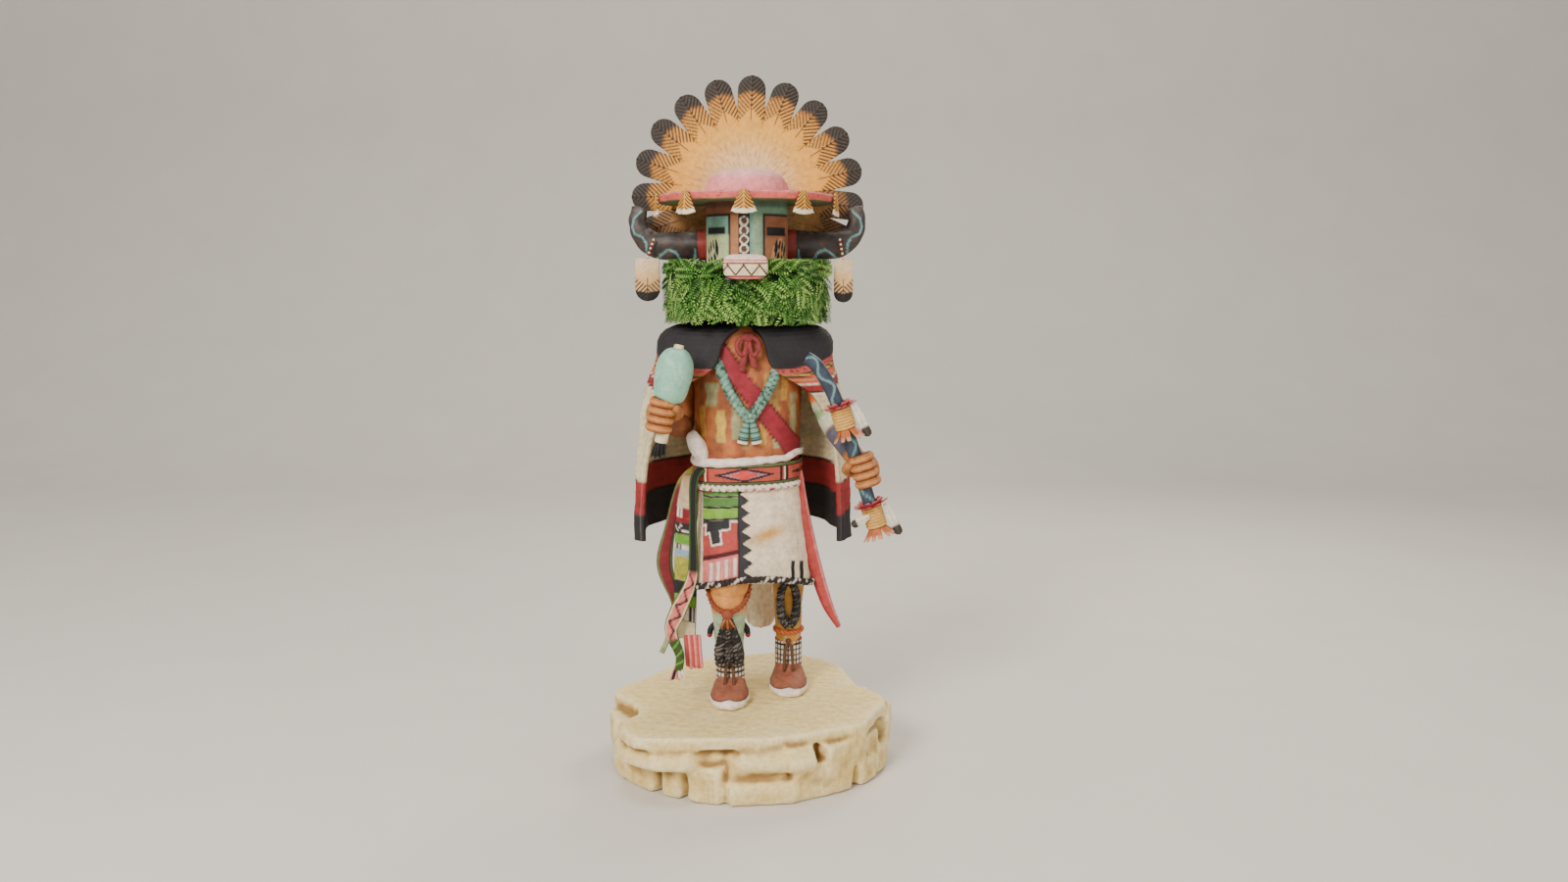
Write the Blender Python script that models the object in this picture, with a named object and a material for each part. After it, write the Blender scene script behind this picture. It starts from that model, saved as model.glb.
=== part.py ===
"""Kachina doll: a carved and painted wooden dancer in a cape and kilt, with a feather crown,
horned case mask and evergreen ruff, holding a gourd rattle and a crook staff, on a carved rock ledge.

Metres, +Z up. The dancer faces -Y. The origin is the middle of the base's flat underside.
The body is a free carving, drawn in units of a 268th of its height above the soles, by at().
"""

import math

import bmesh
import bpy
from mathutils import Matrix, Vector

# Base
BASE_WIDTH = 0.1412
BASE_DEPTH = 0.1336
BASE_TOP = 0.032
SLAB_THICKNESS = 0.0058
LEDGE_LIP = 0.0206
LEDGE_THICKNESS = 0.0050
BLOCK_DEPTH = 0.0125

# Dancer
FIGURE_HEIGHT = 0.268
CAPE_WALL = 0.0020
MASK_RADIUS = 0.0203
BRIM_RADIUS = 0.0435
BRIM_THICKNESS = 0.0041
HEAD_BACK = 0.0172

# Crown, ruff, snout and horns
CROWN_RADIUS = 0.0595
CROWN_NOTCH_RADIUS = 0.0440
CROWN_THICKNESS = 0.0024
CROWN_FEATHERS = 13
CROWN_TIP_WIDTH = 0.0146
RUFF_WIDTH = 0.0850
RUFF_DEPTH = 0.0680
SNOUT_WIDTH = 0.0212
SNOUT_HEIGHT = 0.0118
SNOUT_LENGTH = 0.0180
HORN_DEPTH = 0.0100

# What the hands hold
HANDLE_RADIUS = 0.0033
GOURD_RADIUS = 0.0090
GOURD_LENGTH = 0.0268
STAFF_RADIUS = 0.0033
FINGER_RADIUS = 0.0022
FINGER_PITCH = 1.86

# Small hanging pieces
TASSEL_LENGTH = 0.0112
TASSEL_WIDTH = 0.0125
TASSEL_THICKNESS = 0.0018
PENDANT_LENGTH = 0.0210
PENDANT_THICKNESS = 0.0022
PENDANT_WIDTH_RIGHT = 0.0126
PENDANT_WIDTH_LEFT = 0.0096
PENDANT_GAP = 0.0008

# Gap between pieces that touch
FIT = 0.0003

UNIT = FIGURE_HEIGHT / 268
SOLE_Z = BASE_TOP + FIT
SHOULDER_Z = 193
RUFF_TOP_Z = 222.5
BRIM_Z = 251
CROWN_Z = 256.5
UP = Vector((0, 0, 1))


def at(x, y, z):
    """A point of the dancer, in units of its height, z counted up from the soles."""
    return Vector((x * UNIT, y * UNIT, SOLE_Z + z * UNIT))


def mix(a, b, t):
    return a + (b - a) * t


def smoothstep(t):
    t = min(1.0, max(0.0, t))
    return t * t * (3 - 2 * t)


def signed_power(value, power):
    return math.copysign(abs(value) ** power, value)


def smooth_path(points, steps, loop=False):
    """A Catmull-Rom curve through the points, with the given steps between each two."""
    n = len(points)
    pick = (lambda i: points[i % n]) if loop else (lambda i: points[min(max(i, 0), n - 1)])
    path = []
    for i in range(n if loop else n - 1):
        a, b, c, d = (pick(i + k) for k in (-1, 0, 1, 2))
        for step in range(steps):
            t = step / steps
            path.append(
                0.5 * (2 * b + (c - a) * t + (2 * a - 5 * b + 4 * c - d) * t * t
                       + (3 * b - a - 3 * c + d) * t ** 3)
            )
    return path if loop else [*path, points[-1].copy()]


def mesh_of(rings, loop=False):
    """A closed mesh through rings of equal length, its ends capped unless it loops."""
    bm = bmesh.new()
    rows = [[bm.verts.new(p) for p in ring] for ring in rings]
    sides = len(rows[0])
    for i in range(len(rows) if loop else len(rows) - 1):
        low, high = rows[i], rows[(i + 1) % len(rows)]
        for k in range(sides):
            m = (k + 1) % sides
            bm.faces.new((low[k], low[m], high[m], high[k]))
    if not loop:
        bm.faces.new(rows[0])
        bm.faces.new(rows[-1])
    bmesh.ops.recalc_face_normals(bm, faces=bm.faces)
    mesh = bpy.data.meshes.new("shape")
    bm.to_mesh(mesh)
    bm.free()
    return mesh


def oval(centre, half_width, half_depth, sides, power=2.0):
    """A level oval ring; a power over 2 squares its corners."""
    ring = []
    for k in range(sides):
        a = math.tau * k / sides
        ring.append(
            centre + Vector((half_width * signed_power(math.sin(a), 2 / power),
                             -half_depth * signed_power(math.cos(a), 2 / power), 0))
        )
    return ring


def stack(levels, sides, power=2.0):
    """A body from level ovals: each level is (x, y, z, half width, half depth) of the dancer."""
    return mesh_of([oval(at(x, y, z), w * UNIT, d * UNIT, sides, power) for x, y, z, w, d in levels])


def sweep(path, sizes, sides=8, wide=(1, 0, 0), loop=False):
    """A round or flat bar along a path; sizes gives (half width, half depth), its width along wide."""
    rings = []
    count = len(path)
    for i, p in enumerate(path):
        before = path[(i - 1) % count] if loop else path[max(i - 1, 0)]
        after = path[(i + 1) % count] if loop else path[min(i + 1, count - 1)]
        along = (after - before).normalized()
        across = (Vector(wide) - Vector(wide).dot(along) * along).normalized()
        deep = along.cross(across)
        share = i / (count - 1)
        a, b = sizes(share) if callable(sizes) else sizes
        rings.append(
            [p + across * a * math.cos(math.tau * k / sides) + deep * b * math.sin(math.tau * k / sides)
             for k in range(sides)]
        )
    return mesh_of(rings, loop)


def limb(points, radii, sides=8, steps=2):
    """A round limb through points of the dancer, its radius eased between the given ones."""
    path = smooth_path([at(*p) for p in points], steps)

    def size(share):
        place = share * (len(radii) - 1)
        i = min(int(place), len(radii) - 2)
        r = mix(radii[i], radii[i + 1], place - i) * UNIT
        return r, r

    return sweep(path, size, sides)


def ellipsoid(centre, radii, sides=10, levels=6, turn=None):
    """An egg form; radii are its half sizes along X, Y and Z before turn."""
    rings = []
    for level in range(1, levels):
        a = math.pi * level / levels
        rings.append(
            [Vector((radii[0] * math.sin(a) * math.cos(math.tau * k / sides),
                     radii[1] * math.sin(a) * math.sin(math.tau * k / sides),
                     -radii[2] * math.cos(a))) for k in range(sides)]
        )
    mesh = mesh_of(rings)
    if turn:
        mesh.transform(turn.to_matrix().to_4x4())
    mesh.transform(Matrix.Translation(centre))
    return mesh


def lathe(start, along, profile, sides=12):
    """A turned form: profile lists (distance along the axis, radius)."""
    along = along.normalized()
    across = along.orthogonal().normalized()
    deep = along.cross(across)
    return mesh_of(
        [[start + along * s + (across * math.cos(math.tau * k / sides)
                               + deep * math.sin(math.tau * k / sides)) * r
          for k in range(sides)] for s, r in profile]
    )


def plate(outline, near, far):
    """A flat board: an outline of (x, z) points between two depths in Y."""
    return mesh_of([[Vector((x, y, z)) for x, z in outline] for y in (near, far)])


def solid(name, shapes, colour, roughness=0.7, cuts=()):
    """One named object: the shapes joined into one body, then cut by the cutters."""
    helpers = bpy.data.collections.new(name + "_helpers")
    work = bpy.data.objects.new(name, shapes[0])
    bpy.context.scene.collection.objects.link(work)
    for operation, meshes in (("UNION", shapes[1:]), ("DIFFERENCE", cuts)):
        if not meshes:
            continue
        group = bpy.data.collections.new(operation)
        for mesh in meshes:
            group.objects.link(bpy.data.objects.new("helper", mesh))
        helpers.children.link(group)
        boolean = work.modifiers.new(operation, "BOOLEAN")
        boolean.operation = operation
        boolean.operand_type = "COLLECTION"
        boolean.collection = group
    bpy.context.scene.collection.children.link(helpers)
    bpy.context.view_layer.update()
    evaluated = work.evaluated_get(bpy.context.evaluated_depsgraph_get())
    mesh = bpy.data.meshes.new_from_object(evaluated)
    work.modifiers.clear()
    work.data = mesh
    for group in list(helpers.children):
        for helper in list(group.objects):
            bpy.data.objects.remove(helper)
        bpy.data.collections.remove(group)
    bpy.data.collections.remove(helpers)
    mesh.name = name
    mesh.materials.clear()
    mesh.materials.append(paint(name, colour, roughness))
    mesh.shade_smooth()
    mesh.set_sharp_from_angle(angle=math.radians(35))
    return work


def paint(name, colour, roughness):
    material = bpy.data.materials.new(name)
    material.use_nodes = True
    shader = material.node_tree.nodes["Principled BSDF"]
    shader.inputs["Base Color"].default_value = (*colour, 1)
    shader.inputs["Roughness"].default_value = roughness
    return material


# Base: a slab on a ledge on a ring of rocks, carved from one block
SLAB_OUTLINE = (
    (-0.41, 0.79), (-0.65, 0.62), (-0.80, 0.32), (-0.94, 0.14), (-1.00, -0.03), (-0.90, -0.17),
    (-0.79, -0.34), (-0.77, -0.50), (-0.85, -0.63), (-0.85, -0.80), (-0.74, -0.98), (-0.55, -1.00),
    (-0.10, -1.00), (0.24, -0.97), (0.62, -0.80), (0.83, -0.68), (0.92, -0.42), (1.00, -0.26),
    (0.98, -0.06), (0.84, 0.10), (0.76, 0.38), (0.70, 0.66), (0.50, 0.87), (0.19, 1.00),
)
LEDGE_OUTLINE = (
    (-0.40, 0.74), (-0.70, 0.52), (-0.80, 0.20), (-0.84, -0.12), (-0.86, -0.42), (-0.92, -0.66),
    (-0.82, -0.90), (-0.62, -1.04), (-0.38, -1.06), (-0.26, -0.96), (-0.14, -0.94), (-0.02, -1.05),
    (0.36, -1.05), (0.49, -0.97), (0.44, -0.80), (0.66, -0.62), (0.82, -0.36), (0.86, -0.06),
    (0.78, 0.30), (0.66, 0.60), (0.44, 0.78), (0.12, 0.90),
)
# Blocks under the slab and the ledge: direction in degrees from the front, half width, low, high
# and reach of the outer face as a share of the base
BLOCKS = (
    (-74, 0.0100, 0.0080, 0.0255, 1.02), (-60, 0.0066, 0.0, 0.0110, 1.05), (-45, 0.0098, 0.0, 0.0165, 1.05),
    (-29, 0.0056, 0.0, 0.0165, 1.05), (-15, 0.0086, 0.0, 0.0170, 1.06), (6.5, 0.0162, 0.0, 0.0096, 1.06),
    (5, 0.0130, 0.0070, 0.0170, 0.99), (27, 0.0112, 0.0, 0.0168, 1.05), (42, 0.0128, 0.0122, 0.0246, 1.06),
    (41, 0.0054, 0.0, 0.0132, 1.06), (54, 0.0076, 0.0, 0.0118, 1.07), (61, 0.0072, 0.0100, 0.0220, 1.02),
    (68, 0.0074, 0.0, 0.0130, 1.06), (82, 0.0102, 0.0090, 0.0268, 1.05), (92, 0.0090, 0.0, 0.0120, 1.00),
    (104, 0.0110, 0.0095, 0.0255, 0.96), (116, 0.0090, 0.0, 0.0125, 0.97), (132, 0.0120, 0.0090, 0.0255, 0.96),
    (138, 0.0080, 0.0, 0.0120, 0.97), (158, 0.0110, 0.0, 0.0180, 0.96), (171, 0.0120, 0.0120, 0.0258, 0.95),
    (182, 0.0100, 0.0, 0.0150, 0.96), (204, 0.0120, 0.0, 0.0200, 0.92), (222, 0.0110, 0.0085, 0.0255, 0.94),
    (226, 0.0090, 0.0, 0.0120, 0.94), (244, 0.0100, 0.0, 0.0215, 0.95), (262, 0.0110, 0.0, 0.0130, 1.00),
    (268, 0.0100, 0.0105, 0.0255, 0.98),
)


def hewn_block(centre, half, turn, number):
    """A block with its corners cut off, each a little differently."""
    bm = bmesh.new()
    for corner in range(8):
        signs = [1 if corner >> axis & 1 else -1 for axis in range(3)]
        for axis in range(3):
            cut = 0.34 + 0.16 * math.sin(5.1 * number + 2.3 * corner + 1.7 * axis)
            room = min(half) * cut
            bm.verts.new([signs[k] * (half[k] - (room if k == axis else 0)) for k in range(3)])
    hull = bmesh.ops.convex_hull(bm, input=bm.verts)
    inside = {item for item in hull["geom_interior"] if isinstance(item, bmesh.types.BMVert)}
    bmesh.ops.delete(bm, geom=list(inside), context="VERTS")
    bmesh.ops.recalc_face_normals(bm, faces=bm.faces)
    mesh = bpy.data.meshes.new("block")
    bm.to_mesh(mesh)
    bm.free()
    mesh.transform(Matrix.Rotation(turn, 4, "Z"))
    mesh.transform(Matrix.Translation(centre))
    return mesh


def layer(outline, rings, steps=2):
    """A level board from an outline in shares of the base; rings lists (z, inset)."""
    points = [Vector((x * BASE_WIDTH / 2, y * BASE_DEPTH / 2, 0)) for x, y in outline]
    curve = smooth_path(points, steps, loop=True)
    return mesh_of([[p * (1 - inset / p.length) + UP * z for p in curve] for z, inset in rings])


def make_base():
    slab_bottom = BASE_TOP - SLAB_THICKNESS
    ease = 0.0007
    ledge_bottom = LEDGE_LIP - LEDGE_THICKNESS
    shapes = [
        layer(SLAB_OUTLINE, ((slab_bottom, 0), (BASE_TOP - ease, 0), (BASE_TOP, ease))),
        layer(LEDGE_OUTLINE, ((ledge_bottom, 3 * ease), (ledge_bottom + 2 * ease, 0), (LEDGE_LIP, 0),
                              (slab_bottom + 0.0002, 0.0046)), 1),
    ]
    core_width, core_depth = 0.41 * BASE_WIDTH, 0.42 * BASE_DEPTH
    shapes.append(
        mesh_of([oval(UP * z, core_width, core_depth, 16) for z in (-0.002, slab_bottom + 0.002)])
    )
    for number, (direction, half_width, low, high, reach) in enumerate(BLOCKS):
        a = math.radians(direction)
        spot = Vector((math.sin(a) * (BASE_WIDTH / 2 * reach - BLOCK_DEPTH),
                       -math.cos(a) * (BASE_DEPTH / 2 * reach - BLOCK_DEPTH), 0))
        half_height = (high - low) / 2 + 0.0006
        shapes.append(
            hewn_block(spot + UP * ((low + high) / 2), (half_width, BLOCK_DEPTH, half_height), a, number)
        )
    ground = mesh_of([oval(UP * z, BASE_WIDTH, BASE_WIDTH, 4, 2.0) for z in (-0.02, 0)])
    return solid("base", shapes, (0.78, 0.62, 0.34), 0.75, [ground])


# Legs and moccasins: the right foot steps forward under a raised knee
def leg(ankle, knee, hip, widths, cuff):
    """A leg; widths are its radii at the ankle, calf and knee, cuff its top and radius."""
    x, y = ankle
    ankle_radius, calf_radius, knee_radius = widths
    cuff_top, cuff_radius = cuff
    return [
        stack([(x, y - 7, 0, 8.0, 15.5), (x, y - 7, 1.2, 9.6, 17.5), (x, y - 7, 3.2, 9.8, 17.8),
               (x, y - 6.6, 5.0, 8.8, 16.4), (x, y - 5, 8.0, 8.2, 12.8), (x, y - 1.5, 11.5, 7.4, 8.6),
               (x, y, 14.0, 6.6, 6.6)], 10, 2.3),
        stack([(x, y, 10.5, cuff_radius, cuff_radius), (x, y, cuff_top, cuff_radius - 0.2, cuff_radius - 0.2)], 10),
        limb([(x, y, 14), (x, y, cuff_top), (mix(x, knee[0], 0.5), mix(y, knee[1], 0.5), 38), knee, hip],
             [ankle_radius, ankle_radius, calf_radius, knee_radius, 12.0], 10),
    ]


def garter(knee, front_z, side_z, radius):
    """A band slung under the knee."""
    band = [at(knee[0] + radius * math.sin(a), knee[1] + 1.5 - (radius - 0.8) * math.cos(a),
               mix(side_z, front_z, max(0.0, math.cos(a)) ** 0.8))
            for a in (math.tau * k / 10 for k in range(10))]
    return sweep(band, (1.2 * UNIT, 1.2 * UNIT), 5, UP, loop=True)


def make_legs():
    right_ankle, left_ankle = (-9.4, -6.0), (20.8, 13.0)
    right_knee, left_knee = (-9.8, -18.5, 62.0), (20.8, 8.0, 62.0)
    shapes = leg(right_ankle, right_knee, (-10, -6, 92), (6.9, 8.0, 8.8), (23.0, 7.6))
    shapes += leg(left_ankle, left_knee, (16, 2, 92), (6.3, 7.2, 7.8), (26.0, 7.0))
    shapes.append(ellipsoid(at(*right_knee), (9.9 * UNIT, 10.2 * UNIT, 9.9 * UNIT), 12, 7))
    shapes.append(garter(right_knee, 50.0, 64.0, 10.8))
    shapes.append(ellipsoid(at(-9.8, -27.6, 48.6), [2.8 * UNIT] * 3, 7, 5))
    yarn = smooth_path([at(-9.6, -26.4, 48), at(-9.4, -20.4, 38), at(-9.4, -15.0, 19.5)], 2)
    shapes.append(sweep(yarn, lambda s: (mix(2.4, 7.4, s) * UNIT, mix(1.8, 2.8, s) * UNIT), 8))
    for side in (-1, 1):
        braid = smooth_path([at(21.2, -1.0, 57), at(21.2 + 3.2 * side, -1.0, 48), at(21.2 + 3.4 * side, 1.2, 38),
                             at(21.2 + 1.6 * side, 3.6, 31)], 2)
        shapes.append(sweep(braid, (2.5 * UNIT, 2.3 * UNIT), 6))
    return shapes


# Kilt, belt and torso
KILT_SIDES = 18


def kilt_ring(z_front, z_side, half_width, front, back, knee_push, inset=0.0):
    """One level of the kilt: a squared oval that sags at the sides and swells over the knee."""
    ring = []
    for k in range(KILT_SIDES):
        a = math.tau * k / KILT_SIDES
        s, c = math.sin(a), math.cos(a)
        depth = front if c > 0 else back
        push = knee_push * math.exp(-((a if a < math.pi else a - math.tau) + 0.42) ** 2 / 0.10)
        x = 1.5 + (half_width - inset) * signed_power(s, 0.85)
        y = -(depth - inset + push) * signed_power(c, 0.85)
        ring.append(at(x, y, mix(z_front, z_side, s * s) + (1.5 * s if z_side < 80 else 0)))
    return ring


def make_kilt():
    levels = (
        (112, 112, 26.5, 21, 19, 0.0), (104, 104, 27.2, 23, 20, 0.6), (86, 82, 29.2, 25.5, 21.5, 2.0),
        (67.5, 60, 31.2, 27, 23, 3.4), (65.5, 58, 31.0, 26.8, 22.8, 3.4),
    )
    skirt = mesh_of([kilt_ring(*level) for level in levels])
    hem = kilt_ring(66.8, 59.3, 31.2, 27, 23, 3.4)
    return [skirt, sweep(hem, (1.3 * UNIT, 1.2 * UNIT), 5, UP, loop=True)]


def belt_ring(z_left, z_right, half_width, half_depth, sides=14):
    ring = oval(at(0, 0, 0), half_width * UNIT, half_depth * UNIT, sides, 2.4)
    for p in ring:
        p.z = at(0, 0, mix(z_left, z_right, p.x / (2 * half_width * UNIT) + 0.5)).z
    return ring


def make_belt():
    return [
        sweep(belt_ring(110.5, 112.0, 26.6, 22.2), (1.7 * UNIT, 1.7 * UNIT), 5, UP, loop=True),
        mesh_of([belt_ring(112.5, 114.5, 26.8, 21.6), belt_ring(113.5, 115.5, 27.4, 22.2),
                 belt_ring(120.5, 122.5, 27.4, 22.2), belt_ring(121.5, 123.5, 26.8, 21.6)]),
        sweep(belt_ring(122.8, 126.2, 26.4, 21.2), (2.2 * UNIT, 2.2 * UNIT), 5, UP, loop=True),
        ellipsoid(at(-24.5, -14, 131.5), (4.6 * UNIT, 5.0 * UNIT, 7.6 * UNIT), 8, 6),
    ]


def make_torso():
    return [stack([(0, 0, 106, 26.0, 20.5), (0, 0, 150, 26.6, 20.5), (0, 0, 178, 28.0, 20.0),
                   (0, 0, 186, 27.0, 19.6), (0, 0, 191, 22.0, 16.5)], 14, 2.4)]


# Cape: a blanket over both shoulders, open below the arms
# Each row: half width, back, front, edge angle from the back, z at the back, z at the edge, lean in x
CAPE_ROWS = (
    (17.0, 17.0, 17.0, 172, 193.0, 189.5, 0.0), (33.0, 27.0, 20.5, 169, 191.5, 186.5, -0.5),
    (42.0, 33.0, 22.6, 165, 187.0, 179.5, -1.0), (45.0, 35.5, 24.0, 160, 178.0, 170.4, -1.5),
    (50.6, 37.0, 23.0, 132, 157.5, 155.0, -2.4), (53.4, 37.8, 20.6, 116, 128.0, 126.0, -2.9),
    (54.3, 38.3, 20.0, 112, 108.0, 104.0, -3.0), (54.8, 39.0, 20.0, 112, 91.0, 81.5, -3.0),
)
CAPE_COLUMNS = 18


def cape_row(row, columns, wall):
    """One row of the cape from its right edge round the back to its left, wall units further in."""
    half_width, back, front, edge, z_back, z_edge, lean = row
    points = []
    ripple = 0.9 * smoothstep((150 - z_back) / 60)
    for k in range(columns + 1):
        t = 2 * k / columns - 1
        a = math.radians(edge) * t
        s, c = math.sin(a), math.cos(a)
        fold = ripple * math.sin(9.5 * a)
        x = lean + (half_width - wall + fold) * s
        y = (back - wall + fold if c > 0 else front - wall) * c
        points.append(at(x, y, mix(z_back, z_edge, smoothstep(abs(t)))))
    return points


def make_cape():
    wall = CAPE_WALL / UNIT
    rows = len(CAPE_ROWS)
    outer = [cape_row(row, CAPE_COLUMNS, 0.0) for row in CAPE_ROWS]
    inner = [cape_row(row, CAPE_COLUMNS, wall) for row in CAPE_ROWS]
    for i, sink in ((0, wall), (1, wall), (2, 0.6 * wall)):
        inner[i] = [p - UP * sink * UNIT for p in inner[i]]
    bm = bmesh.new()
    grids = [[[bm.verts.new(p) for p in line] for line in side] for side in (outer, inner)]
    for grid in grids:
        for i in range(rows - 1):
            for k in range(CAPE_COLUMNS):
                bm.faces.new((grid[i][k], grid[i][k + 1], grid[i + 1][k + 1], grid[i + 1][k]))
    for i in range(rows - 1):
        for k in (0, CAPE_COLUMNS):
            bm.faces.new((grids[0][i][k], grids[0][i + 1][k], grids[1][i + 1][k], grids[1][i][k]))
    for i in (0, rows - 1):
        for k in range(CAPE_COLUMNS):
            bm.faces.new((grids[0][i][k], grids[0][i][k + 1], grids[1][i][k + 1], grids[1][i][k]))
    bmesh.ops.recalc_face_normals(bm, faces=bm.faces)
    mesh = bpy.data.meshes.new("cape")
    bm.to_mesh(mesh)
    bm.free()
    return [mesh]


# Head: a case mask with a round brim and a dome
def make_head():
    sides = 18
    brim_bottom = at(0, 0, BRIM_Z)
    dome_radius = MASK_RADIUS + 0.0008
    column = mesh_of([oval(at(0, 0, z), r, r, sides)
                      for z, r in ((186, 0.8 * MASK_RADIUS), (194, 0.85 * MASK_RADIUS),
                                   (200, MASK_RADIUS), (BRIM_Z + 1, MASK_RADIUS))])
    edge = 0.0006
    brim = mesh_of([oval(brim_bottom + UP * z, BRIM_RADIUS - r, BRIM_RADIUS - r, 26)
                    for z, r in ((0, edge), (edge, 0), (BRIM_THICKNESS - edge, 0), (BRIM_THICKNESS, edge))])
    dome_height = FIGURE_HEIGHT + SOLE_Z - brim_bottom.z - BRIM_THICKNESS
    rings = []
    for a in (0, 0.38, 0.76, 1.14, 1.45):
        rings.append(
            oval(brim_bottom + UP * (BRIM_THICKNESS - 0.0005 + dome_height * math.sin(a)),
                 dome_radius * math.cos(a) ** 0.75, dome_radius * math.cos(a) ** 0.75, sides)
        )
    return [column, brim, mesh_of(rings)]


# Arms and fists
HANDLE_FOOT, HANDLE_TOP = (-40.6, -36.0, 137.0), (-31.2, -37.0, 183.0)
STAFF_POINTS = (
    (28.8, -33, 177.0), (33.8, -33, 173.5), (38.8, -33, 166.0), (43.6, -33, 156.0), (49.4, -33, 140.0),
    (56.0, -33, 119.5), (62.4, -33, 99.0),
)
GOURD_START = 0.40
GRIP_TUCK = 0.0022


def fist(centre, axis, side):
    """A closed hand round a bar: palm, four fingers and a thumb; side is -1 or 1."""
    across = Vector((side, 0, 0))
    across = (across - across.dot(axis) * axis).normalized()
    out = Vector((0, -1, 0))
    out = (out - out.dot(axis) * axis).normalized()
    shapes = []
    turn = Matrix((across, -out, axis)).transposed().to_quaternion()
    shapes.append(ellipsoid(centre + (across * 4.2 - out * 2.4) * UNIT,
                            (5.6 * UNIT, 5.6 * UNIT, 8.0 * UNIT), 8, 5, turn))
    reach = STAFF_RADIUS + 0.55 * FINGER_RADIUS
    for finger in range(4):
        lift = axis * FINGER_RADIUS * FINGER_PITCH * (1.5 - finger)
        bend = []
        for step in range(5):
            a = math.radians(mix(-20, 195, step / 4))
            bend.append(centre + lift + across * (math.cos(a) * reach + 0.0022) + out * math.sin(a) * reach
                        + out * 0.0006)
        shapes.append(sweep(bend, (FINGER_RADIUS, FINGER_RADIUS), 5, axis))
    thumb = [centre - across * 3.2 * UNIT - out * 4.2 * UNIT - axis * 1.0 * UNIT,
             centre - across * 6.0 * UNIT - out * 0.5 * UNIT + axis * 2.4 * UNIT,
             centre - across * 3.4 * UNIT + out * 4.4 * UNIT + axis * 5.4 * UNIT]
    shapes.append(sweep(smooth_path(thumb, 2), (2.3 * UNIT, 2.3 * UNIT), 6, axis))
    return shapes


def make_arms():
    foot, top = at(*HANDLE_FOOT), at(*HANDLE_TOP)
    stack_height = FINGER_RADIUS * (FINGER_PITCH * 1.5 + 1)
    grip = GOURD_START * (top - foot).length - stack_height + GRIP_TUCK
    right_hand = foot + (top - foot).normalized() * grip
    left_hand = at(55.2, -33, 122.0)
    staff_axis = (at(*STAFF_POINTS[4]) - at(*STAFF_POINTS[6])).normalized()
    shapes = [
        limb([(-31, 3, 181), (-34, 2, 160), (-33.5, -3, 141), (-36, -18, 146), (-40.5, -30, 150.5)],
             [7.5, 7.6, 6.4, 5.2, 4.6]),
        limb([(29, 3, 181), (37, -3, 160), (42.5, -9, 143.5), (49, -20, 133), (56.5, -28.5, 124)],
             [7.5, 7.6, 6.4, 5.2, 4.8]),
    ]
    shapes += fist(right_hand, (top - foot).normalized(), -1)
    shapes += fist(left_hand, staff_axis, 1)
    return shapes


# Sash ends, belt ends, fox skin and the jewellery on the chest
def ribbon(points, half_widths, half_depth, steps=2):
    """A flat band through points of the dancer, its half width eased between the given ones."""
    path = smooth_path([at(*p) for p in points], steps)

    def size(share):
        place = share * (len(half_widths) - 1)
        i = min(int(place), len(half_widths) - 2) if len(half_widths) > 1 else 0
        wide = mix(half_widths[i], half_widths[min(i + 1, len(half_widths) - 1)], place - i)
        return wide * UNIT, half_depth * UNIT

    return sweep(path, size, 6)


def make_hangings():
    shapes = [
        mesh_of([
            [at(-31 + shift + sx * wide, y + sy * 1.4, z) for sx, sy in ((-1, -1), (1, -1), (1, 1), (-1, 1))]
            for z, wide, y, shift in ((116, 3.6, -9, 2.0), (100, 5.2, -9, 0.2), (60, 5.8, -9.5, -0.8),
                                      (38, 5.6, -10.5, -1.0), (24, 5.0, -11, -0.6))
        ]),
        ribbon([(-19.0, -14, 120), (-26.0, -17.5, 116), (-27.0, -18.5, 92), (-27.6, -18.5, 66), (-35.0, -18, 48),
                (-38.6, -18, 37.5), (-34.4, -18, 25), (-35.2, -18, 17)],
               (2.4, 2.2, 2.0, 3.0, 4.4, 3.0, 2.4, 2.4), 1.5),
        ribbon([(-23.0, -2, 120), (-33.5, -2, 111), (-39.8, -2, 88), (-43.0, -2, 68), (-37.5, -4, 48),
                (-40.0, -6, 34), (-44.6, -8, 23)], (2.6, 2.6, 2.9, 4.2, 2.2, 1.4, 1.4), 1.5),
        ribbon([(25.6, -7, 118), (29.0, -9, 95), (34.2, -8, 70), (40.2, -7, 50), (46.6, -7, 37)],
               (2.2, 2.8, 3.4, 3.0, 1.2), 2.6),
    ]
    for x, low in ((-38.6, 13.0), (-35.6, 11.8), (-32.6, 12.6)):
        shapes.append(limb([(-34.8, -18, 20), (x, -18, low)], [2.0, 1.7], 5, 1))
    for x, y in ((-29.6, -11.5), (-26.6, -10.7)):
        shapes.append(limb([(x, y, 30), (x, y - 1, 14.5)], [2.0, 2.3], 5, 1))
    return shapes


def make_fox_skin():
    path = smooth_path([at(0, 17, 116), at(1, 22.5, 90), at(3.6, 25.0, 62), at(5.4, 25, 44), at(5.6, 24.6, 34),
                        at(5.4, 24, 27)], 1)
    widths = (4.0, 4.4, 6.0, 8.2, 8.4, 4.0)

    def size(share):
        place = share * 5
        i = min(int(place), 4)
        return mix(widths[i], widths[i + 1], place - i) * UNIT, 3.4 * UNIT

    return [sweep(path, size, 8)]


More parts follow.
